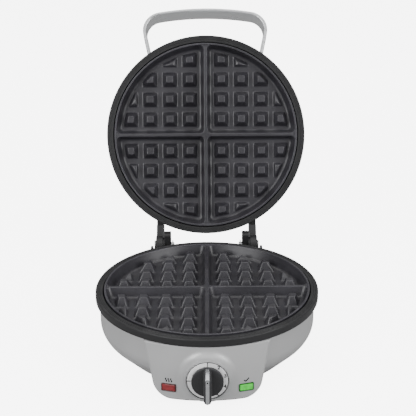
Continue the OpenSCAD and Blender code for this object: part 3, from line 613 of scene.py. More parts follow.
def layers(top, bottom, edge, fillet, steps=5):
    """(height, shrink, grow) of the loops of a moulded side with a rounded edge above and a fillet below"""
    found = [(top, edge + 0.3 * MM, 0.0)]
    for angle in np.linspace(0, math.pi / 2, steps):
        found.append((top - edge * (1 - math.cos(angle)), edge * (1 - math.sin(angle)), 0.0))
    for angle in np.linspace(0, math.pi / 2, steps):
        found.append((bottom + fillet * (1 - math.sin(angle)), 0.0, fillet * (1 - math.cos(angle))))
    found.append((bottom, 0.0, fillet + 0.3 * MM))
    return found


def pocket_loops():
    """The loops of the first quarter's pocket, from the rib's top down to its floor"""
    s = sizes()
    centre = np.array((44 * MM, 44 * MM))
    near = 3 * MM
    corners = np.array(((2 * MM, 2 * MM), (QUARTER_REACH, near), (near, QUARTER_REACH))) - centre
    angles = [np.linspace(0, TURN, 200, endpoint=False)]
    for x, y in corners:
        width = CORNER_RUN / math.hypot(x, y)
        angles.append((math.atan2(y, x) + np.linspace(-width, width, 25)) % TURN)
    rays = rays_at(np.unique(np.concatenate(angles)))
    loops = []
    for z, shrink, grow in layers(0.0, -s.floor_depth, 0.55 * MM, 2.2 * MM):
        half = rib_half(z) - shrink + grow
        reach = wall_radius(z) - grow

        def inside(x, y):
            return rounded_region((x - half, y - half, reach - np.hypot(x, y)), s.pocket_corner)

        loop = star_loop(inside, centre, rays, 90 * MM)
        loops.append(np.c_[loop, np.full(len(loop), z)])
    return loops


def stud_loops(column, row):
    """The loops of one stud, from its top down to the floor, or None where the stud would be cut away"""
    s = sizes()
    x0, y0 = (s.stud_start + s.stud_pitch * k for k in (column, row))
    low = stud_half(-s.floor_depth)
    if math.hypot(x0 - low, y0 - low) > s.stud_reach - 4 * MM:
        return None
    grid = np.linspace(-low, low, 41)
    gx, gy = (g.ravel() for g in np.meshgrid(x0 + grid, y0 + grid))
    kept = np.hypot(gx, gy) < s.stud_reach - 3 * MM
    centre = np.array((gx[kept].mean(), gy[kept].mean()))
    rays = rays_at(np.linspace(0, TURN, 80, endpoint=False) + 0.01)
    loops = []
    for z, shrink, grow in layers(-s.stud_drop, -s.floor_depth, 0.5 * MM, 1.1 * MM, 4):
        half = stud_half(z) - shrink + grow
        reach = s.stud_reach - CLIPPED_SLOPE * (z + s.floor_depth) - shrink + grow

        def inside(x, y):
            sides = (half - abs(x - x0), half - abs(y - y0), reach - np.hypot(x, y))
            return rounded_region(sides, STUD_ROUND)

        loop = star_loop(inside, centre, rays, 20 * MM)
        loops.append(np.c_[loop, np.full(len(loop), z)])
    return loops


def fill_between(loops):
    """Flat faces inside the first loop and outside the others"""
    bm = bmesh.new()
    for loop in loops:
        verts = [bm.verts.new(p) for p in loop]
        for a, b in zip(verts, verts[1:] + verts[:1]):
            bm.edges.new((a, b))
    bmesh.ops.triangle_fill(bm, use_beauty=True, edges=bm.edges[:], normal=(0, 0, 1))
    bm.verts.index_update()
    verts = [tuple(v.co) for v in bm.verts]
    faces = [tuple(v.index for v in f.verts) for f in bm.faces]
    bm.free()
    return verts, faces


def quarter_turn(points, count):
    """Points turned about Z by a number of quarter turns"""
    points = np.array(points, float)
    for _ in range(count):
        points = np.c_[-points[:, 1], points[:, 0], points[:, 2:]]
    return points


def plate_parts():
    """The grid plate's face, wall, lip and underside as (verts, faces) pairs"""
    pocket = pocket_loops()
    studs = [loops for c in range(STUD_COLUMNS) for r in range(STUD_COLUMNS) if (loops := stud_loops(c, r))]
    floor = fill_between([pocket[-1]] + [loops[-1] for loops in studs])
    quarter = [loft(pocket, cap_last=False), floor]
    quarter += [loft(loops[::-1]) for loops in studs]
    verts, faces = join_parts(quarter)
    parts = [(quarter_turn(verts, q), faces) for q in range(4)]

    first = pocket[0]
    edge_r = wall_radius(0.0)
    on_wall = np.hypot(first[:, 0], first[:, 1]) > edge_r - 2e-8
    start = next(i for i in range(len(first)) if on_wall[i] and not on_wall[i - 1])
    first, on_wall = np.roll(first, -start, 0), np.roll(on_wall, -start)
    wall_part, rib_part = first[on_wall], first[~on_wall][::-1]
    wall_angles = np.arctan2(wall_part[:, 1], wall_part[:, 0])
    deck, angles = [], []
    for q in range(4):
        end = np.linspace(-wall_angles[0], wall_angles[0], 9)
        end_angles = end + q * math.pi / 2
        deck += [(edge_r * math.cos(a), edge_r * math.sin(a), 0.0) for a in end_angles]
        deck += [tuple(p) for p in quarter_turn(rib_part, q)]
        angles += list(end_angles[:-1]) + list(wall_angles[:-1] + q * math.pi / 2)
    parts.append((deck, [tuple(range(len(deck)))]))

    rim = [(edge_r, 0.0)]
    rim += [p for p in rounded([(0, LIP_HEIGHT - 9 * MM, 0), (edge_r, 0, 0), (LIP_IN, LIP_HEIGHT, 0.5 * MM),
                                (PLATE_R, LIP_HEIGHT, 0.5 * MM), (PLATE_R, -PLATE_LOW, 0.6 * MM),
                                (0, -PLATE_LOW, 0)])[2:]]
    rows = len(rim)
    verts = [(r * math.cos(a), r * math.sin(a), z) for a in angles for r, z in rim]
    faces = []
    for k in range(len(angles)):
        a, b = k * rows, (k + 1) % len(angles) * rows
        faces += [(a + i, b + i, b + i + 1, a + i + 1) for i in range(rows - 1)]
    parts.append((verts, faces))
    return parts


class WAFFLE_OT_grid_plates(bpy.types.Operator):
    """Adds the two non-stick grid plates with their quarter pockets and studs"""

    bl_idname = "waffle.grid_plates"
    bl_label = "Grid plates"

    def execute(self, context):
        for side, body, place in (("lower", "base", base_frame()), ("upper", "lid", lid_frame())):
            plate = even_shading(add_piece(f"{side}_plate", *join_parts(plate_parts()), place=place, sharp=50))
            settle(plate, body, "nonstick", f"{side}_grid_plate")
        return {"FINISHED"}


# ---- Bezel rings ----


SKIRT_IN = 6.8 * MM
SKIRT_T = 1.3 * MM
LEDGE_IN = 24.8 * MM
LEDGE_TOP = -20 * MM
LEDGE_LOW = -22 * MM
GROOVES_IN = (4.6 * MM, 2.9 * MM)
GROOVE = 0.3 * MM
GROOVE_FLOOR = 0.12 * MM


def ring_outline():
    """A bezel ring's section: a face with two fine grooves, a rounded rim, a skirt and a ledge"""
    s = sizes()
    inner, skirt, ledge = RING_R - s.ring_face, RING_R - SKIRT_IN, RING_R - LEDGE_IN
    corners = [(inner, -3 * MM, 0), (inner, 0, 0.5 * MM)]
    for inset in GROOVES_IN:
        r = RING_R - inset
        corners += [(r - GROOVE, 0, 0.1 * MM), (r - GROOVE_FLOOR, -GROOVE, 0),
                    (r + GROOVE_FLOOR, -GROOVE, 0), (r + GROOVE, 0, 0.1 * MM)]
    corners += [(RING_R, 0, 1.2 * MM), (RING_R, -s.ring_side, 0.7 * MM), (skirt, -s.ring_side, 0),
                (skirt, LEDGE_LOW, 0.3 * MM), (ledge, LEDGE_LOW, 0.3 * MM), (ledge, LEDGE_TOP, 0.3 * MM),
                (skirt - SKIRT_T, LEDGE_TOP, 0), (skirt - SKIRT_T, -4 * MM, 0)]
    return rounded(corners, 7)


class WAFFLE_OT_bezel_rings(bpy.types.Operator):
    """Adds the two moulded rings that frame the grid plates"""

    bl_idname = "waffle.bezel_rings"
    bl_label = "Bezel rings"

    def execute(self, context):
        for body, place in (("base", base_frame()), ("lid", lid_frame())):
            settle(lathe(f"{body}_ring", ring_outline(), place), body, "black_resin", f"{body}_bezel_ring")
        return {"FINISHED"}


# ---- Base housing and control panel ----

HOUSING_LOW = HOUSING_BOX[0].z - RING_TOP
PANEL_TOP = HOUSING_BOX[1].z - RING_TOP
CURVE = 22 * MM
CURVE_Z = -31 * MM
WALL = 2.5 * MM
FLANGE_IN = 8.7 * MM
PANEL_WINDOW = ((-46, -118, -61), (46, -58, -22))
WIRE_PASSAGE = ((-15, 60, -52), (15, 120, -36))


def housing_side(t):
    """(radius, height) points of the housing's side, a depth t inside its outer face, from the top down"""
    points = [(HOUSING_R - t, PANEL_TOP)]
    points += arc((HOUSING_R - CURVE, CURVE_Z), CURVE - t, 0, -45, 18)
    low_r = points[-1][0] - (points[-1][1] - HOUSING_LOW)
    return points + [(low_r, HOUSING_LOW)]


def housing_radius(z):
    """Radius of the housing's outer face at a height"""
    points = housing_side(0)[::-1]
    return float(np.interp(z, [p[1] for p in points], [p[0] for p in points]))


def cut_away(piece, cutter):
    """Takes a closed cutter out of a piece and deletes the cutter"""
    modifier = piece.modifiers.new("Cut", "BOOLEAN")
    modifier.operation = "DIFFERENCE"
    modifier.object = cutter
    modifier.solver = "EXACT"
    bpy.context.view_layer.update()
    cut = bpy.data.meshes.new_from_object(piece.evaluated_get(bpy.context.evaluated_depsgraph_get()))
    piece.modifiers.remove(modifier)
    piece.data = cut
    bpy.data.objects.remove(cutter)
    return piece


def box_parts(low, high):
    """Vertices and faces of a closed box between two corners"""
    verts = [(x, y, z) for x in (low[0], high[0]) for y in (low[1], high[1]) for z in (low[2], high[2])]
    faces = [(0, 1, 3, 2), (4, 6, 7, 5), (0, 4, 5, 1), (2, 3, 7, 6), (0, 2, 6, 4), (1, 5, 7, 3)]
    return verts, faces


class WAFFLE_OT_base_housing(bpy.types.Operator):
    """Adds the painted shell of the base, with its windows to the panel and the rear stand"""

    bl_idname = "waffle.base_housing"
    bl_label = "Base housing"

    def execute(self, context):
        outer, inner = housing_side(0), housing_side(WALL)[::-1]
        flange = HOUSING_LOW + WALL + 0.1 * MM
        flange_in = inner[0][0] - FLANGE_IN
        rim = outer[-1]
        inner_low = inner[0][0] + 2 * WALL
        outline = outer[:-1] + [(rim[0] + 0.5 * MM, rim[1] + 0.5 * MM), (rim[0] - 0.2 * MM, rim[1])]
        outline += [inner[0], (inner[0][0] + WALL, flange), (flange_in, flange), (flange_in, flange + WALL),
                    (inner_low, flange + WALL)]
        outline += inner[1:]
        shell = add_piece("base_shell", *turned(outline))
        for low, high in (PANEL_WINDOW, WIRE_PASSAGE):
            parts = box_parts([v * MM for v in low], [v * MM for v in high])
            cut_away(shell, add_piece("window", *parts))
        shell.data.transform(base_frame())
        even_shading(shell)
        settle(shell, "base", "silver_paint", "base_housing")
        return {"FINISHED"}


PANEL_HALF = (PANEL_BOX[1].x - PANEL_BOX[0].x) / 2
PANEL_LOW = PANEL_BOX[0].z - RING_TOP
PANEL_FRONT = -RING_R + 1 * MM
PANEL_LEAN = math.radians(10)
PANEL_CORNER = 15 * MM
SHAFT_HOLE = 5 * MM
DIAL_GAP = 0.4 * MM         # gap around the dial's plate in the boss
RECESS = 1.3 * MM           # depth of the dial's recess
BOSS_RIM = 0.9 * MM
KNOB_H = KNOB_Z - RING_TOP
DIAL_Y = DIAL_BOX[0].y - BASE_Y
DIAL_R = (DIAL_BOX[1].x - DIAL_BOX[0].x) / 2


def panel_face(x):
    """How far forward the bowed face lies at x"""
    bow = sizes().panel_bow
    return PANEL_FRONT + bow - np.sqrt(bow ** 2 - x ** 2)


def panel_loop(t, rays):
    """(x, z) points of the panel's outline, a depth t inside its edge"""

    def inside(x, z):
        side = PANEL_HALF - (PANEL_TOP - z) * math.tan(PANEL_LEAN)
        slope = math.cos(PANEL_LEAN)
        sides = ((side - x) * slope - t, (side + x) * slope - t, z - PANEL_LOW - t)
        return np.maximum(rounded_region(sides, PANEL_CORNER - t), z - PANEL_TOP + t * 0.2)

    return star_loop(inside, (0.0, KNOB_H), rays, 90 * MM)


def circle_xz(radius, rays):
    return np.c_[radius * rays[:, 0], KNOB_H + radius * rays[:, 1]]


def panel_parts():
    """The panel as one closed shell: inside, rim, outside, rounded edge, bowed face, dial boss and recess"""
    s = sizes()
    count = s.smoothness
    rays = rays_at(np.linspace(0, TURN, count, endpoint=False) + 0.005)

    def at(points, y):
        return np.c_[points[:, 0], np.broadcast_to(y, len(points)), points[:, 1]]

    def face_at(points, back=0.0):
        return at(points, panel_face(points[:, 0]) + back)

    def back_end(points):
        radius = np.array([housing_radius(z) for z in points[:, 1]])
        return -np.sqrt(np.maximum(radius ** 2 - points[:, 0] ** 2, 0)) + 1.2 * MM

    inner, outer = panel_loop(WALL, rays), panel_loop(0, rays)
    hole = circle_xz(SHAFT_HOLE, rays)
    loops = [face_at(hole, WALL), face_at(inner * (0.5, 0.5) + hole * (0.5, 0.5), WALL), face_at(inner, WALL)]
    loops += [at(inner, back_end(inner)), at(outer, back_end(outer))]
    edge = s.panel_edge
    loops.append(face_at(outer, edge + 1 * MM))
    for angle in np.linspace(0, math.pi / 2, 8):
        loop = panel_loop(edge * (1 - math.cos(angle)), rays)
        loops.append(face_at(loop, edge * (1 - math.sin(angle))))
    face = panel_loop(edge, rays)
    foot = circle_xz(s.boss_foot, rays)
    for share in np.linspace(0, 1, 10)[1:]:
        loops.append(face_at(face + (foot - face) * share))
    top_r = DIAL_R + BOSS_RIM
    for angle in np.linspace(0, math.pi / 2, 14)[1:]:
        rise = 1 - math.cos(angle)
        ring = circle_xz(s.boss_foot - (s.boss_foot - top_r) * math.sin(angle), rays)
        y = panel_face(ring[:, 0]) * (1 - rise) + (DIAL_Y + 0.4 * MM) * rise
        loops.append(at(ring, y))
    for radius, y in ((top_r - 0.12 * MM, 0.12 * MM), (top_r - 0.4 * MM, 0), (DIAL_R + 0.5 * MM, 0),
                      (DIAL_R + DIAL_GAP, 0.1 * MM), (DIAL_R + DIAL_GAP, RECESS), (SHAFT_HOLE, RECESS)):
        loops.append(at(circle_xz(radius, rays), DIAL_Y + y))
    loops.append(loops[0])
    return loft(loops, cap_last=False)


PRINT_LIFT = 0.04 * MM


def strip_of(points, width):
    """A flat strip of a width along (x, z) points, just in front of the panel's face"""
    points = np.array(points, float)
    along = np.gradient(points, axis=0)
    side = np.c_[-along[:, 1], along[:, 0]] / np.linalg.norm(along, axis=1)[:, None] * width / 2
    left, right = points + side, points - side
    verts = [(x, panel_face(x) - PRINT_LIFT, z) for x, z in np.r_[left, right]]
    n = len(points)
    return verts, [(i, i + 1, n + i + 1, n + i) for i in range(n - 1)]


LENS_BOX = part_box("ready_lens")
LENS_X = middle(LENS_BOX).x
LENS_Z = middle(LENS_BOX).z - RING_TOP
LENS_H = LENS_BOX[1].z - LENS_BOX[0].z
LENS_W = 14.6 * MM
LENS_FRAME = ((3.5, 0), (-0.55, 0), (-0.8, 0.1), (-0.9, 0.35), (-0.9, 0.8), (-0.8, 0.95), (-0.1, 1.05))
LENS_WINDOW = ((-0.15, 1.1), (-0.6, 1.15), (-0.78, 1.4), (-0.84, 1.9), (-0.88, 2.8))
SIGN_HEIGHT = 4 * MM


def lens_place(side):
    """Frame of a lens: its face towards -Y, tilted with the bowed panel"""
    turn = math.asin(LENS_X / sizes().panel_bow)
    x = side * LENS_X
    spot = Matrix.Translation((x, panel_face(x), LENS_Z))
    return base_frame() @ spot @ Matrix.Rotation(side * turn, 4, "Z")


def lens_loops(corner, steps):
    """Loops of a lens's rounded rectangle. steps holds (depth y, inset) pairs in millimetres"""
    loops = []
    for y, inset in np.array(steps) * MM:
        w, h, c = LENS_W / 2 - inset, LENS_H / 2 - inset, max(corner - inset, 0.1 * MM)
        outline = rounded([(-w, -h, c), (w, -h, c), (w, h, c), (-w, h, c)], 8)
        loops.append([(x, y, z) for x, z in outline])
    return loops


class WAFFLE_OT_control_panel(bpy.types.Operator):
    """Adds the bowed control panel with the dial's flared boss, and the signs printed above its lamps"""

    bl_idname = "waffle.control_panel"
    bl_label = "Control panel"

    def execute(self, context):
        panel = even_shading(add_piece("front_panel", *panel_parts(), place=base_frame(), sharp=40))
        # painted light: the panel's silver is the housing's paint made 6% lighter
        settle(panel, "base", "panel_silver", "control_panel")
        rise = LENS_Z + LENS_H / 2 + 1.6 * MM
        waves = []
        for k in (-1, 0, 1):
            heights = np.linspace(0, SIGN_HEIGHT, 13)
            bend = 0.5 * MM * np.sin(heights / SIGN_HEIGHT * TURN)
            waves.append(strip_of(np.c_[-LENS_X + k * 2.4 * MM + bend, rise + heights], 1.05 * MM))
        tick_x = LENS_X + np.array((-2.3, -0.7, 2.5)) * MM
        tick_z = rise + np.array((1.8, 0.2, 3.6)) * MM
        ticks = [strip_of(np.c_[tick_x[i:i + 2], tick_z[i:i + 2]], 1.15 * MM) for i in (0, 1)]
        for name, parts in (("heating_sign", waves), ("ready_sign", ticks)):
            sign = add_piece(name, *join_parts(parts), place=base_frame())
            settle(sign, "base", "black_resin", finish="print")
        return {"FINISHED"}


class WAFFLE_OT_lamps(bpy.types.Operator):
    """Adds the two lamp lenses, each a clear coloured window in a frame whose darkened lens colour is painted
    shade
    """

    bl_idname = "waffle.lamps"
    bl_label = "Lamp lenses"

    def execute(self, context):
        for side, name, slot in ((-1, "heating", "red_lens"), (1, "ready", "green_lens")):
            place = lens_place(side)
            rim = loft(lens_loops(1.3 * MM, LENS_FRAME), cap_first=True)
            rim = even_shading(add_piece(f"{name}_frame", *rim, place=place))
            # painted shade: the frame is the lens colour darkened, for the dark border round the window
            settle(rim, "base", slot, f"{name}_lens", finish=f"{slot}_rim")
            glass = loft(lens_loops(1.6 * MM, LENS_WINDOW), cap_first=True)
            settle(even_shading(add_piece(f"{name}_window", *glass, place=place)), "base", slot)
        return {"FINISHED"}


# ---- Dial and knob ----

DIAL_MARKS = ((0, "1"), (37, "2"), (73, "3"), (110, "4"), (147, "5"))
OFF_MARK = -90
TICK_MARKS = (0, 147)       # the ends of the numbered range have a tick
MARKS_OUT = 19.3 * MM
TICK_WIDTH = 0.9 * MM


def knob_frame():
    """Origin on the dial's face: +Y up the dial, +Z out of the panel"""
    spot = Matrix.Translation((0, BASE_Y + DIAL_Y, KNOB_Z))
    return spot @ Matrix.Rotation(math.pi / 2, 4, "X")


def on_dial(radius, degrees, lift=0.0):
    """A point at a clock angle from the top of the dial"""
    a = math.radians(degrees)
    return (radius * math.sin(a), radius * math.cos(a), lift)


def sector(r0, r1, start, end, lift, steps=40):
    """A flat part of a ring between two clock angles"""
    angles = np.linspace(start, end, steps + 1)
    verts = [on_dial(r, a, lift) for r in (r0, r1) for a in angles]
    n = steps + 1
    return verts, [(i, n + i, n + i + 1, i + 1) for i in range(steps)]


def tick(from_r, degrees, lift):
    """A flat line from a radius out to the marks' edge"""
    corners = []
    for radius, sign in ((from_r, -1), (MARKS_OUT, -1), (MARKS_OUT, 1), (from_r, 1)):
        x, y, z = on_dial(radius, degrees, lift)
        dx, dy, _ = on_dial(sign * TICK_WIDTH / 2, degrees + 90)
        corners.append((x + dx, y + dy, z))
    return corners, [(0, 1, 2, 3)]


def digit_parts(text, centre, height):
    """A number's flat faces, centred on a point"""
    curve = bpy.data.curves.new("digit", "FONT")
    curve.body = text
    curve.size = height / 0.72
    curve.offset = height * 0.04
    curve.align_x, curve.align_y = "CENTER", "CENTER"
    holder = bpy.data.objects.new("digit", curve)
    bpy.context.scene.collection.objects.link(holder)
    bpy.context.view_layer.update()
    mesh = bpy.data.meshes.new_from_object(holder.evaluated_get(bpy.context.evaluated_depsgraph_get()))
    verts = [tuple(v.co + Vector(centre)) for v in mesh.vertices]
    faces = [tuple(p.vertices) for p in mesh.polygons]
    bpy.data.objects.remove(holder)
    bpy.data.meshes.remove(mesh)
    bpy.data.curves.remove(curve)
    return verts, faces


class WAFFLE_OT_dial(bpy.types.Operator):
    """Adds the dial's satin plate, a near-white quarter painted on it as a reflection, its ticks and its
    numbers 1 to 5
    """

    bl_idname = "waffle.dial"
    bl_label = "Dial"

    def execute(self, context):
        outline = rounded([(8 * MM, -1.2 * MM, 0), (DIAL_R - 0.1 * MM, -1.2 * MM, 0),
                           (DIAL_R - 0.1 * MM, 0, 0.25 * MM), (8 * MM, 0, 0.1 * MM)], 5)
        settle(lathe("dial_plate", outline, knob_frame()), "base", "dial_silver", "dial_ring")
        lift = 0.05 * MM
        # painted reflection: a near-white quarter from the off mark up to 12 o'clock, where the dial's metal
        # catches the light
        reflection_patch = sector(13 * MM, MARKS_OUT, OFF_MARK + 1, -1, lift)
        reflection_patch = add_piece("dial_reflection_sector", *reflection_patch, place=knob_frame())
        settle(reflection_patch, "base", "dial_silver", finish="dial_painted_reflection")
        parts = [sector(18.95 * MM, 19.75 * MM, 0, 360, lift, 180)]
        parts += [tick(17.6 * MM, degrees, lift * 2) for degrees in TICK_MARKS]
        parts.append(tick(15.4 * MM, OFF_MARK, lift * 2))
        for degrees, text in DIAL_MARKS:
            radius, share = (16.4 * MM, 0.8) if degrees in TICK_MARKS else (17.3 * MM, 1.0)
            parts.append(digit_parts(text, on_dial(radius, degrees, lift * 2), sizes().digit_height * share))
        marks = add_piece("dial_marks", *join_parts(parts), place=knob_frame())
        settle(marks, "base", "black_resin", finish="print")
        return {"FINISHED"}


KNOB_R = (KNOB_BOX[1].x - KNOB_BOX[0].x) / 2
KNOB_FACE = 4.0 * MM
GRIP_TOP = DIAL_BOX[0].y - KNOB_BOX[0].y
GRIP_HALF = KNOB_R - 0.4 * MM


GRIP_FOOT = 4.2 * MM        # half width of the grip where it leaves the disc
GRIP_WAIST = 3.75 * MM
GRIP_RIDGE = 3.5 * MM
GRIP_FILLET = 0.8 * MM
GRIP_EDGE = 1.1 * MM


def grip_loop(height, half_width, inset=0.0):
    """A section of the grip at a height over the dial, with its upper end leaning in"""
    share = (height - KNOB_FACE) / (GRIP_TOP - KNOB_FACE)
    upper = KNOB_R - 0.5 * MM - share * 2.7 * MM - inset
    lower = -GRIP_HALF + share * 0.25 * MM + inset
    w = half_width - inset
    corners = [(-w, lower, w), (w, lower, w), (w, upper, w * 0.75), (-w, upper, w * 0.75)]
    return [(x, y, height) for x, y in rounded(corners, 10)]


def grip_parts():
    """The knob's blade: a fillet at the disc, straight flanks and a rounded ridge"""
    loops = [grip_loop(KNOB_FACE - 0.5 * MM, GRIP_FOOT + 0.1 * MM), grip_loop(KNOB_FACE, GRIP_FOOT)]
    for angle in np.linspace(0, math.pi / 2, 5)[1:]:
        half_width = GRIP_FOOT - (GRIP_FOOT - GRIP_WAIST) * (1 - math.cos(angle))
        loops.append(grip_loop(KNOB_FACE + GRIP_FILLET * math.sin(angle), half_width))
    low, high = KNOB_FACE + GRIP_FILLET, GRIP_TOP - GRIP_EDGE
    for share in np.linspace(0.2, 1, 5):
        loops.append(grip_loop(low + (high - low) * share, GRIP_WAIST - (GRIP_WAIST - GRIP_RIDGE) * share))
    for angle in np.linspace(0, math.pi / 2, 6)[1:]:
        height = GRIP_TOP - GRIP_EDGE * (1 - math.sin(angle))
        loops.append(grip_loop(height, GRIP_RIDGE, GRIP_EDGE * (1 - math.cos(angle))))
    return loft(loops, cap_first=True)


def pointer_parts():
    """The bright strip along the grip's ridge and down its upper end"""
    half, thick = 1.75 * MM, 0.54 * MM
    low = -GRIP_HALF + 0.9 * MM
    ridge_end = KNOB_R - 3.2 * MM
    foot = np.array((KNOB_R - 0.5 * MM, KNOB_FACE + 0.3 * MM))
    path = [np.array((low + d, GRIP_TOP)) for d in (0.0, 0.15 * MM, 0.5 * MM, 1.0 * MM, 1.5 * MM, 2 * MM)]
    path += [np.array((y, GRIP_TOP)) for y in np.linspace(low + 3 * MM, ridge_end - 1 * MM, 12)]
    top = np.array((ridge_end, GRIP_TOP))
    down = foot - top
    down /= np.linalg.norm(down)
    back = np.array((-1 * MM, 0))
    bend = [top + back * (1 - t) ** 2 + down * MM * t ** 2 for t in np.linspace(0.2, 1, 6)]
    path += bend + [top + (foot - top) * t for t in np.linspace(0.15, 1, 8)]
    loops = []
    for i, spot in enumerate(path):
        way = path[min(i + 1, len(path) - 1)] - path[max(i - 1, 0)]
        way = way / np.linalg.norm(way)
        out = np.array((-way[1], way[0]))
        gone = min(spot[0] - low, half) if i < 8 else half
        w = math.sqrt(max(half ** 2 - (half - gone) ** 2, (0.25 * MM) ** 2))
        section = [(-w, -0.4 * MM), (w, -0.4 * MM), (w, thick - 0.25 * MM), (w - 0.08 * MM, thick - 0.08 * MM),
                   (w - 0.25 * MM, thick), (-w + 0.25 * MM, thick), (-w + 0.08 * MM, thick - 0.08 * MM),
                   (-w, thick - 0.25 * MM)]
        loops.append([(x, *(spot + out * t)) for x, t in section])
    return loft(loops, cap_first=True)


class WAFFLE_OT_knob(bpy.types.Operator):
    """Adds the knob's disc, its grip and the bright pointer strip with its dot"""

    bl_idname = "waffle.knob"
    bl_label = "Knob"

    def execute(self, context):
        face = KNOB_FACE
        outline = rounded([(0.0, 0.6 * MM, 0), (KNOB_R, 0.6 * MM, 0.2 * MM), (KNOB_R, face, 0.6 * MM),
                           (0.0, face, 0)], 6)
        settle(lathe("knob_disc", outline, knob_frame(), closed=False), "knob", "knob_resin", "control_knob")
        grip = even_shading(add_piece("knob_grip", *grip_parts(), place=knob_frame(), sharp=50))
        settle(grip, "knob", "knob_resin")
        strip = even_shading(add_piece("knob_strip", *pointer_parts(), place=knob_frame()))
        settle(strip, "knob", "bright_trim", "knob_pointer")
        dot = [(x, y + 9.3 * MM, GRIP_TOP + 0.57 * MM) for x, y in arc((0, 0), 0.75 * MM, 0, 345, 24)]
        mark = add_piece("knob_dot", dot, [tuple(range(24))], place=knob_frame())
        settle(mark, "knob", "black_resin", finish="print")
        return {"FINISHED"}


# ---- Lid cover and handle ----

COVER_SHOULDER = 24 * MM
COVER_SIDE = -20 * MM
CROWN_SLOPE = 6.0
COVER_T = 1.5 * MM


def cover_side(t):
    """(radius, height) points of the cover, a depth t inside its outer face, from the ring to the middle"""
    shoulder = (COVER_R - COVER_SHOULDER, COVER_SIDE)
    points = [(COVER_R - t, -7.85 * MM)]
    points += arc(shoulder, COVER_SHOULDER - t, 0, CROWN_SLOPE - 90, 24)
    slope = math.radians(CROWN_SLOPE)
    crown_r = (shoulder[0] + COVER_SHOULDER * math.sin(slope)) / math.sin(slope)
    centre_z = shoulder[1] - COVER_SHOULDER * math.cos(slope) + crown_r * math.cos(slope)
    for share in np.linspace(1, 0, 14)[1:]:
        r, a = crown_r - t, slope * share
        points.append((r * math.sin(a), centre_z - r * math.cos(a)))
    return points


class WAFFLE_OT_lid_cover(bpy.types.Operator):
    """Adds the brushed steel cover behind the upper plate"""

    bl_idname = "waffle.lid_cover"
    bl_label = "Lid cover"

    def execute(self, context):
        outline = cover_side(0) + cover_side(COVER_T)[::-1]
        settle(lathe("lid_shell", outline, lid_frame()), "lid", "brushed_cover", "lid_cover")
        return {"FINISHED"}


HANDLE_REACH = 71.5 * MM
HANDLE_BOW = 320 * MM
HANDLE_HALF = 50 * MM
HANDLE_CORNER = 22 * MM
HANDLE_SINK = 0.8 * MM      # how far the handle's legs reach into the cover
LEG_LEAN = 12.0
HANDLE_LEAN = math.radians(13.5)


def handle_path(t):
    """(x, y, turn in degrees) of points along the handle's outline, a depth t inside its outer edge"""
    turn = math.degrees(math.asin(HANDLE_HALF / (HANDLE_BOW - HANDLE_CORNER)))
    bow_y = HANDLE_REACH - HANDLE_BOW
    centre = (HANDLE_HALF, bow_y + (HANDLE_BOW - HANDLE_CORNER) * math.cos(math.radians(turn)))
    angles = np.linspace(90, 90 - turn, 14)
    half = [(*p, a) for p, a in zip(arc((0, bow_y), HANDLE_BOW - t, 90, 90 - turn, 14), angles)]
    angles = np.linspace(90 - turn, -LEG_LEAN, 28)[1:]
    half += [(centre[0] + (HANDLE_CORNER - t) * math.cos(math.radians(a)),
              centre[1] + (HANDLE_CORNER - t) * math.sin(math.radians(a)), a) for a in angles]
    end_x, end_y, _ = half[-1]
    for y in np.linspace(end_y, 0, 10)[1:]:
        half.append((end_x - (end_y - y) * math.tan(math.radians(LEG_LEAN)), y, -LEG_LEAN))
    other = [(-x, y, 180 - a) for x, y, a in half[:0:-1]]
    return other + half


def handle_frame():
    foot = Matrix.Translation((0, RING_R - 35 * MM, -10 * MM))
    return lid_frame() @ foot @ Matrix.Rotation(-HANDLE_LEAN, 4, "X")


def handle_parts():
    """The handle's band: a rounded section swept along its bowed path"""
    s = sizes()
    half_t, half_w, edge = s.band / 2, s.band_width / 2, 1.5 * MM
    section = rounded([(-half_t, -half_w, edge), (half_t, -half_w, edge), (half_t, half_w, edge),
                       (-half_t, half_w, edge)], 7)
    loops = []
    for x, y, a in handle_path(half_t):
        c, n = math.cos(math.radians(a)), math.sin(math.radians(a))
        loops.append([(x + c * out, y + n * out, side - half_w) for out, side in section])
    return loft(loops, cap_first=True)


class WAFFLE_OT_handle(bpy.types.Operator):
    """Adds the lid's loop handle, cut where it meets the cover"""

    bl_idname = "waffle.handle"
    bl_label = "Handle"

    def execute(self, context):
        handle = add_piece("lid_grip", *handle_parts(), place=handle_frame())
        cut_r = COVER_R - HANDLE_SINK
        outline = [(0.0, 60 * MM), (cut_r, 60 * MM), (cut_r, -70 * MM), (0.0, -70 * MM)]
        cut_away(handle, add_piece("cover_cut", *turned(outline, closed=False), place=lid_frame()))
        even_shading(handle)
        settle(handle, "lid", "cast_handle", "lid_handle")
        return {"FINISHED"}


# ---- Pieces that keep their CAD shape ----

KEPT_NODES = {
    "black_resin": ("rear_stand", "base_cover", "left_hinge_arm", "right_hinge_arm"),
    "foot_rubber": ("rubber_feet", "cord_inlet"),
    "steel_screw": ("base_cover_screws", "stand_screws", "lower_plate_screws", "upper_plate_screws",
                    "thermostat_screws", "thermostat_shaft", "hinge_pins", "hinge_arm_screws",
                    "handle_screws"),
    "sheet_steel": ("lower_element_clips", "upper_element_clips", "lower_heat_shield", "upper_heat_shield",
                    "thermostat_bracket", "handle_brackets", "hinge_pin_clips"),
    "element_sheath": ("lower_heating_element", "upper_heating_element"),
    "ceramic": ("thermostat_body", "terminal_block", "thermal_fuse", "hinge_bushes"),
    "lamp_glass": ("neon_lamps",),
    "lead_sleeve": ("base_wiring",),
}
EDGE_ROUND = {"rear_stand": 1.0, "left_hinge_arm": 0.8, "right_hinge_arm": 0.8, "base_cover": 0.6,
              "rubber_feet": 0.8, "hinge_pins": 0.4}


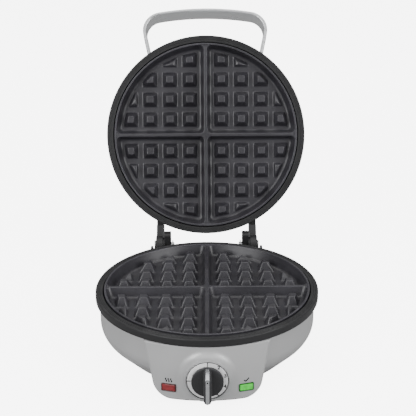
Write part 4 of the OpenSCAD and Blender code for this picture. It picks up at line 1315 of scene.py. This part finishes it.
class WAFFLE_OT_kept_nodes(bpy.types.Operator):
    """Gives the pieces that keep their CAD shape a finish and rounded edges"""

    bl_idname = "waffle.kept_nodes"
    bl_label = "Hinge, stand and inner pieces"

    def execute(self, context):
        for slot, names in KEPT_NODES.items():
            for name in names:
                node = frame["nodes"][name]
                node.data.materials.clear()
                node.data.materials.append(finish_of(slot))
                if name in EDGE_ROUND:
                    weld = node.modifiers.new("Weld", "WELD")
                    weld.merge_threshold = 0.02 * MM
                    edge = node.modifiers.new("Rounded edges", "BEVEL")
                    edge.width = EDGE_ROUND[name] * MM
                    edge.segments = 3
                    edge.limit_method = "ANGLE"
                    edge.angle_limit = math.radians(40)
                    edge.harden_normals = False
                    even_shading(node)
        return {"FINISHED"}


# ---- Stage ----

CAMERA_SPOT = (0.0, -1.01121, 0.5315)
CAMERA_PITCH = math.radians(90 - 21.72)
CAMERA_ROLL = -0.0069
CAMERA_LENS = 89.1
CAMERA_SHIFT = 0.0041


WORLD_LIGHT = 0.26
FLOOR_HALF = 6.0
FLOOR_GLOW = 6.0
FLOOR_GREY = 0.38           # what the floor reflects into the object
# (name, place, aim, width, height, power)
LIGHTS = (("overhead", (0.0, 0.3, 2.6), (0, 0.3, 0), 4.0, 4.0, 76),
          ("front_left", (-1.6, -1.7, 1.1), (0, 0, 0.12), 1.7, 1.6, 50),
          ("front_right", (1.8, -1.4, 1.0), (0, 0, 0.12), 1.6, 1.5, 41))


def add_light(name, spot, aim, width, height, power):
    lamp = bpy.data.lights.new(name, "AREA")
    lamp.shape = "RECTANGLE"
    lamp.size, lamp.size_y, lamp.energy = width, height, power
    holder = bpy.data.objects.new(name, lamp)
    bpy.context.scene.collection.objects.link(holder)
    way = Vector(aim) - Vector(spot)
    holder.matrix_world = Matrix.Translation(spot) @ way.to_track_quat("-Z", "Y").to_matrix().to_4x4()


class WAFFLE_OT_stage(bpy.types.Operator):
    """Adds the camera, the soft studio lights and the pale floor"""

    bl_idname = "waffle.stage"
    bl_label = "Camera, light and floor"

    def execute(self, context):
        scene = context.scene
        camera = bpy.data.cameras.new("camera")
        camera.lens = CAMERA_LENS
        camera.sensor_width = 36
        camera.shift_x = CAMERA_SHIFT
        holder = bpy.data.objects.new("camera", camera)
        scene.collection.objects.link(holder)
        turn = Matrix.Rotation(CAMERA_PITCH, 4, "X") @ Matrix.Rotation(CAMERA_ROLL, 4, "Z")
        holder.matrix_world = Matrix.Translation(CAMERA_SPOT) @ turn
        scene.camera = holder

        world = bpy.data.worlds.new("studio")
        world.use_nodes = True
        back = world.node_tree.nodes["Background"]
        back.inputs["Color"].default_value = (1, 1, 1, 1)
        back.inputs["Strength"].default_value = WORLD_LIGHT
        scene.world = world

        for light in LIGHTS:
            add_light(*light)

        corners = [(x * FLOOR_HALF, y * FLOOR_HALF, 0) for x, y in ((-1, -1), (1, -1), (1, 1), (-1, 1))]
        floor = add_piece("floor", corners, [(0, 1, 2, 3)])
        material, tree, shader = finish_start("Pale floor", Roughness=0.7)
        shader.inputs["Base Color"].default_value = (0.93, 0.93, 0.93, 1)
        shader.inputs["Emission Color"].default_value = (1, 1, 1, 1)
        shader.inputs["Emission Strength"].default_value = FLOOR_GLOW
        dim = add_node(tree, "ShaderNodeBsdfDiffuse")
        dim.inputs["Color"].default_value = (FLOOR_GREY, FLOOR_GREY, FLOOR_GREY, 1)
        seen = add_node(tree, "ShaderNodeMixShader")
        tree.links.new(add_node(tree, "ShaderNodeLightPath").outputs["Is Camera Ray"], seen.inputs[0])
        tree.links.new(dim.outputs[0], seen.inputs[1])
        tree.links.new(shader.outputs[0], seen.inputs[2])
        tree.links.new(seen.outputs[0], tree.nodes["Material Output"].inputs["Surface"])
        floor.data.materials.append(material)
        return {"FINISHED"}


# ---- Panel, registration and main ----

STEPS = (WAFFLE_OT_stage, WAFFLE_OT_grid_plates, WAFFLE_OT_bezel_rings, WAFFLE_OT_base_housing,
         WAFFLE_OT_control_panel, WAFFLE_OT_lamps, WAFFLE_OT_dial, WAFFLE_OT_knob, WAFFLE_OT_lid_cover,
         WAFFLE_OT_handle, WAFFLE_OT_kept_nodes)


class WAFFLE_PT_pieces(bpy.types.Panel):
    """Lists the sizes, the colours and the pieces"""

    bl_idname = "WAFFLE_PT_pieces"
    bl_label = "Waffle maker"
    bl_space_type = "VIEW_3D"
    bl_region_type = "UI"
    bl_category = "Waffle maker"

    def draw(self, context):
        layout = self.layout
        for holder in (context.scene.waffle_sizes, context.scene.waffle_colours):
            column = layout.column(align=True)
            for name in holder.__annotations__:
                column.prop(holder, name)
        for step in STEPS:
            layout.operator(step.bl_idname)


CLASSES = (WaffleSizes, WaffleColours, *STEPS, WAFFLE_PT_pieces)


def register():
    for cls in CLASSES:
        bpy.utils.register_class(cls)
    bpy.types.Scene.waffle_sizes = PointerProperty(type=WaffleSizes)
    bpy.types.Scene.waffle_colours = PointerProperty(type=WaffleColours)


def unregister():
    del bpy.types.Scene.waffle_colours
    del bpy.types.Scene.waffle_sizes
    for cls in reversed(CLASSES):
        bpy.utils.unregister_class(cls)


def main():
    register()
    for step in STEPS:
        group, name = step.bl_idname.split(".")
        getattr(getattr(bpy.ops, group), name)()


if __name__ == "__main__":
    main()
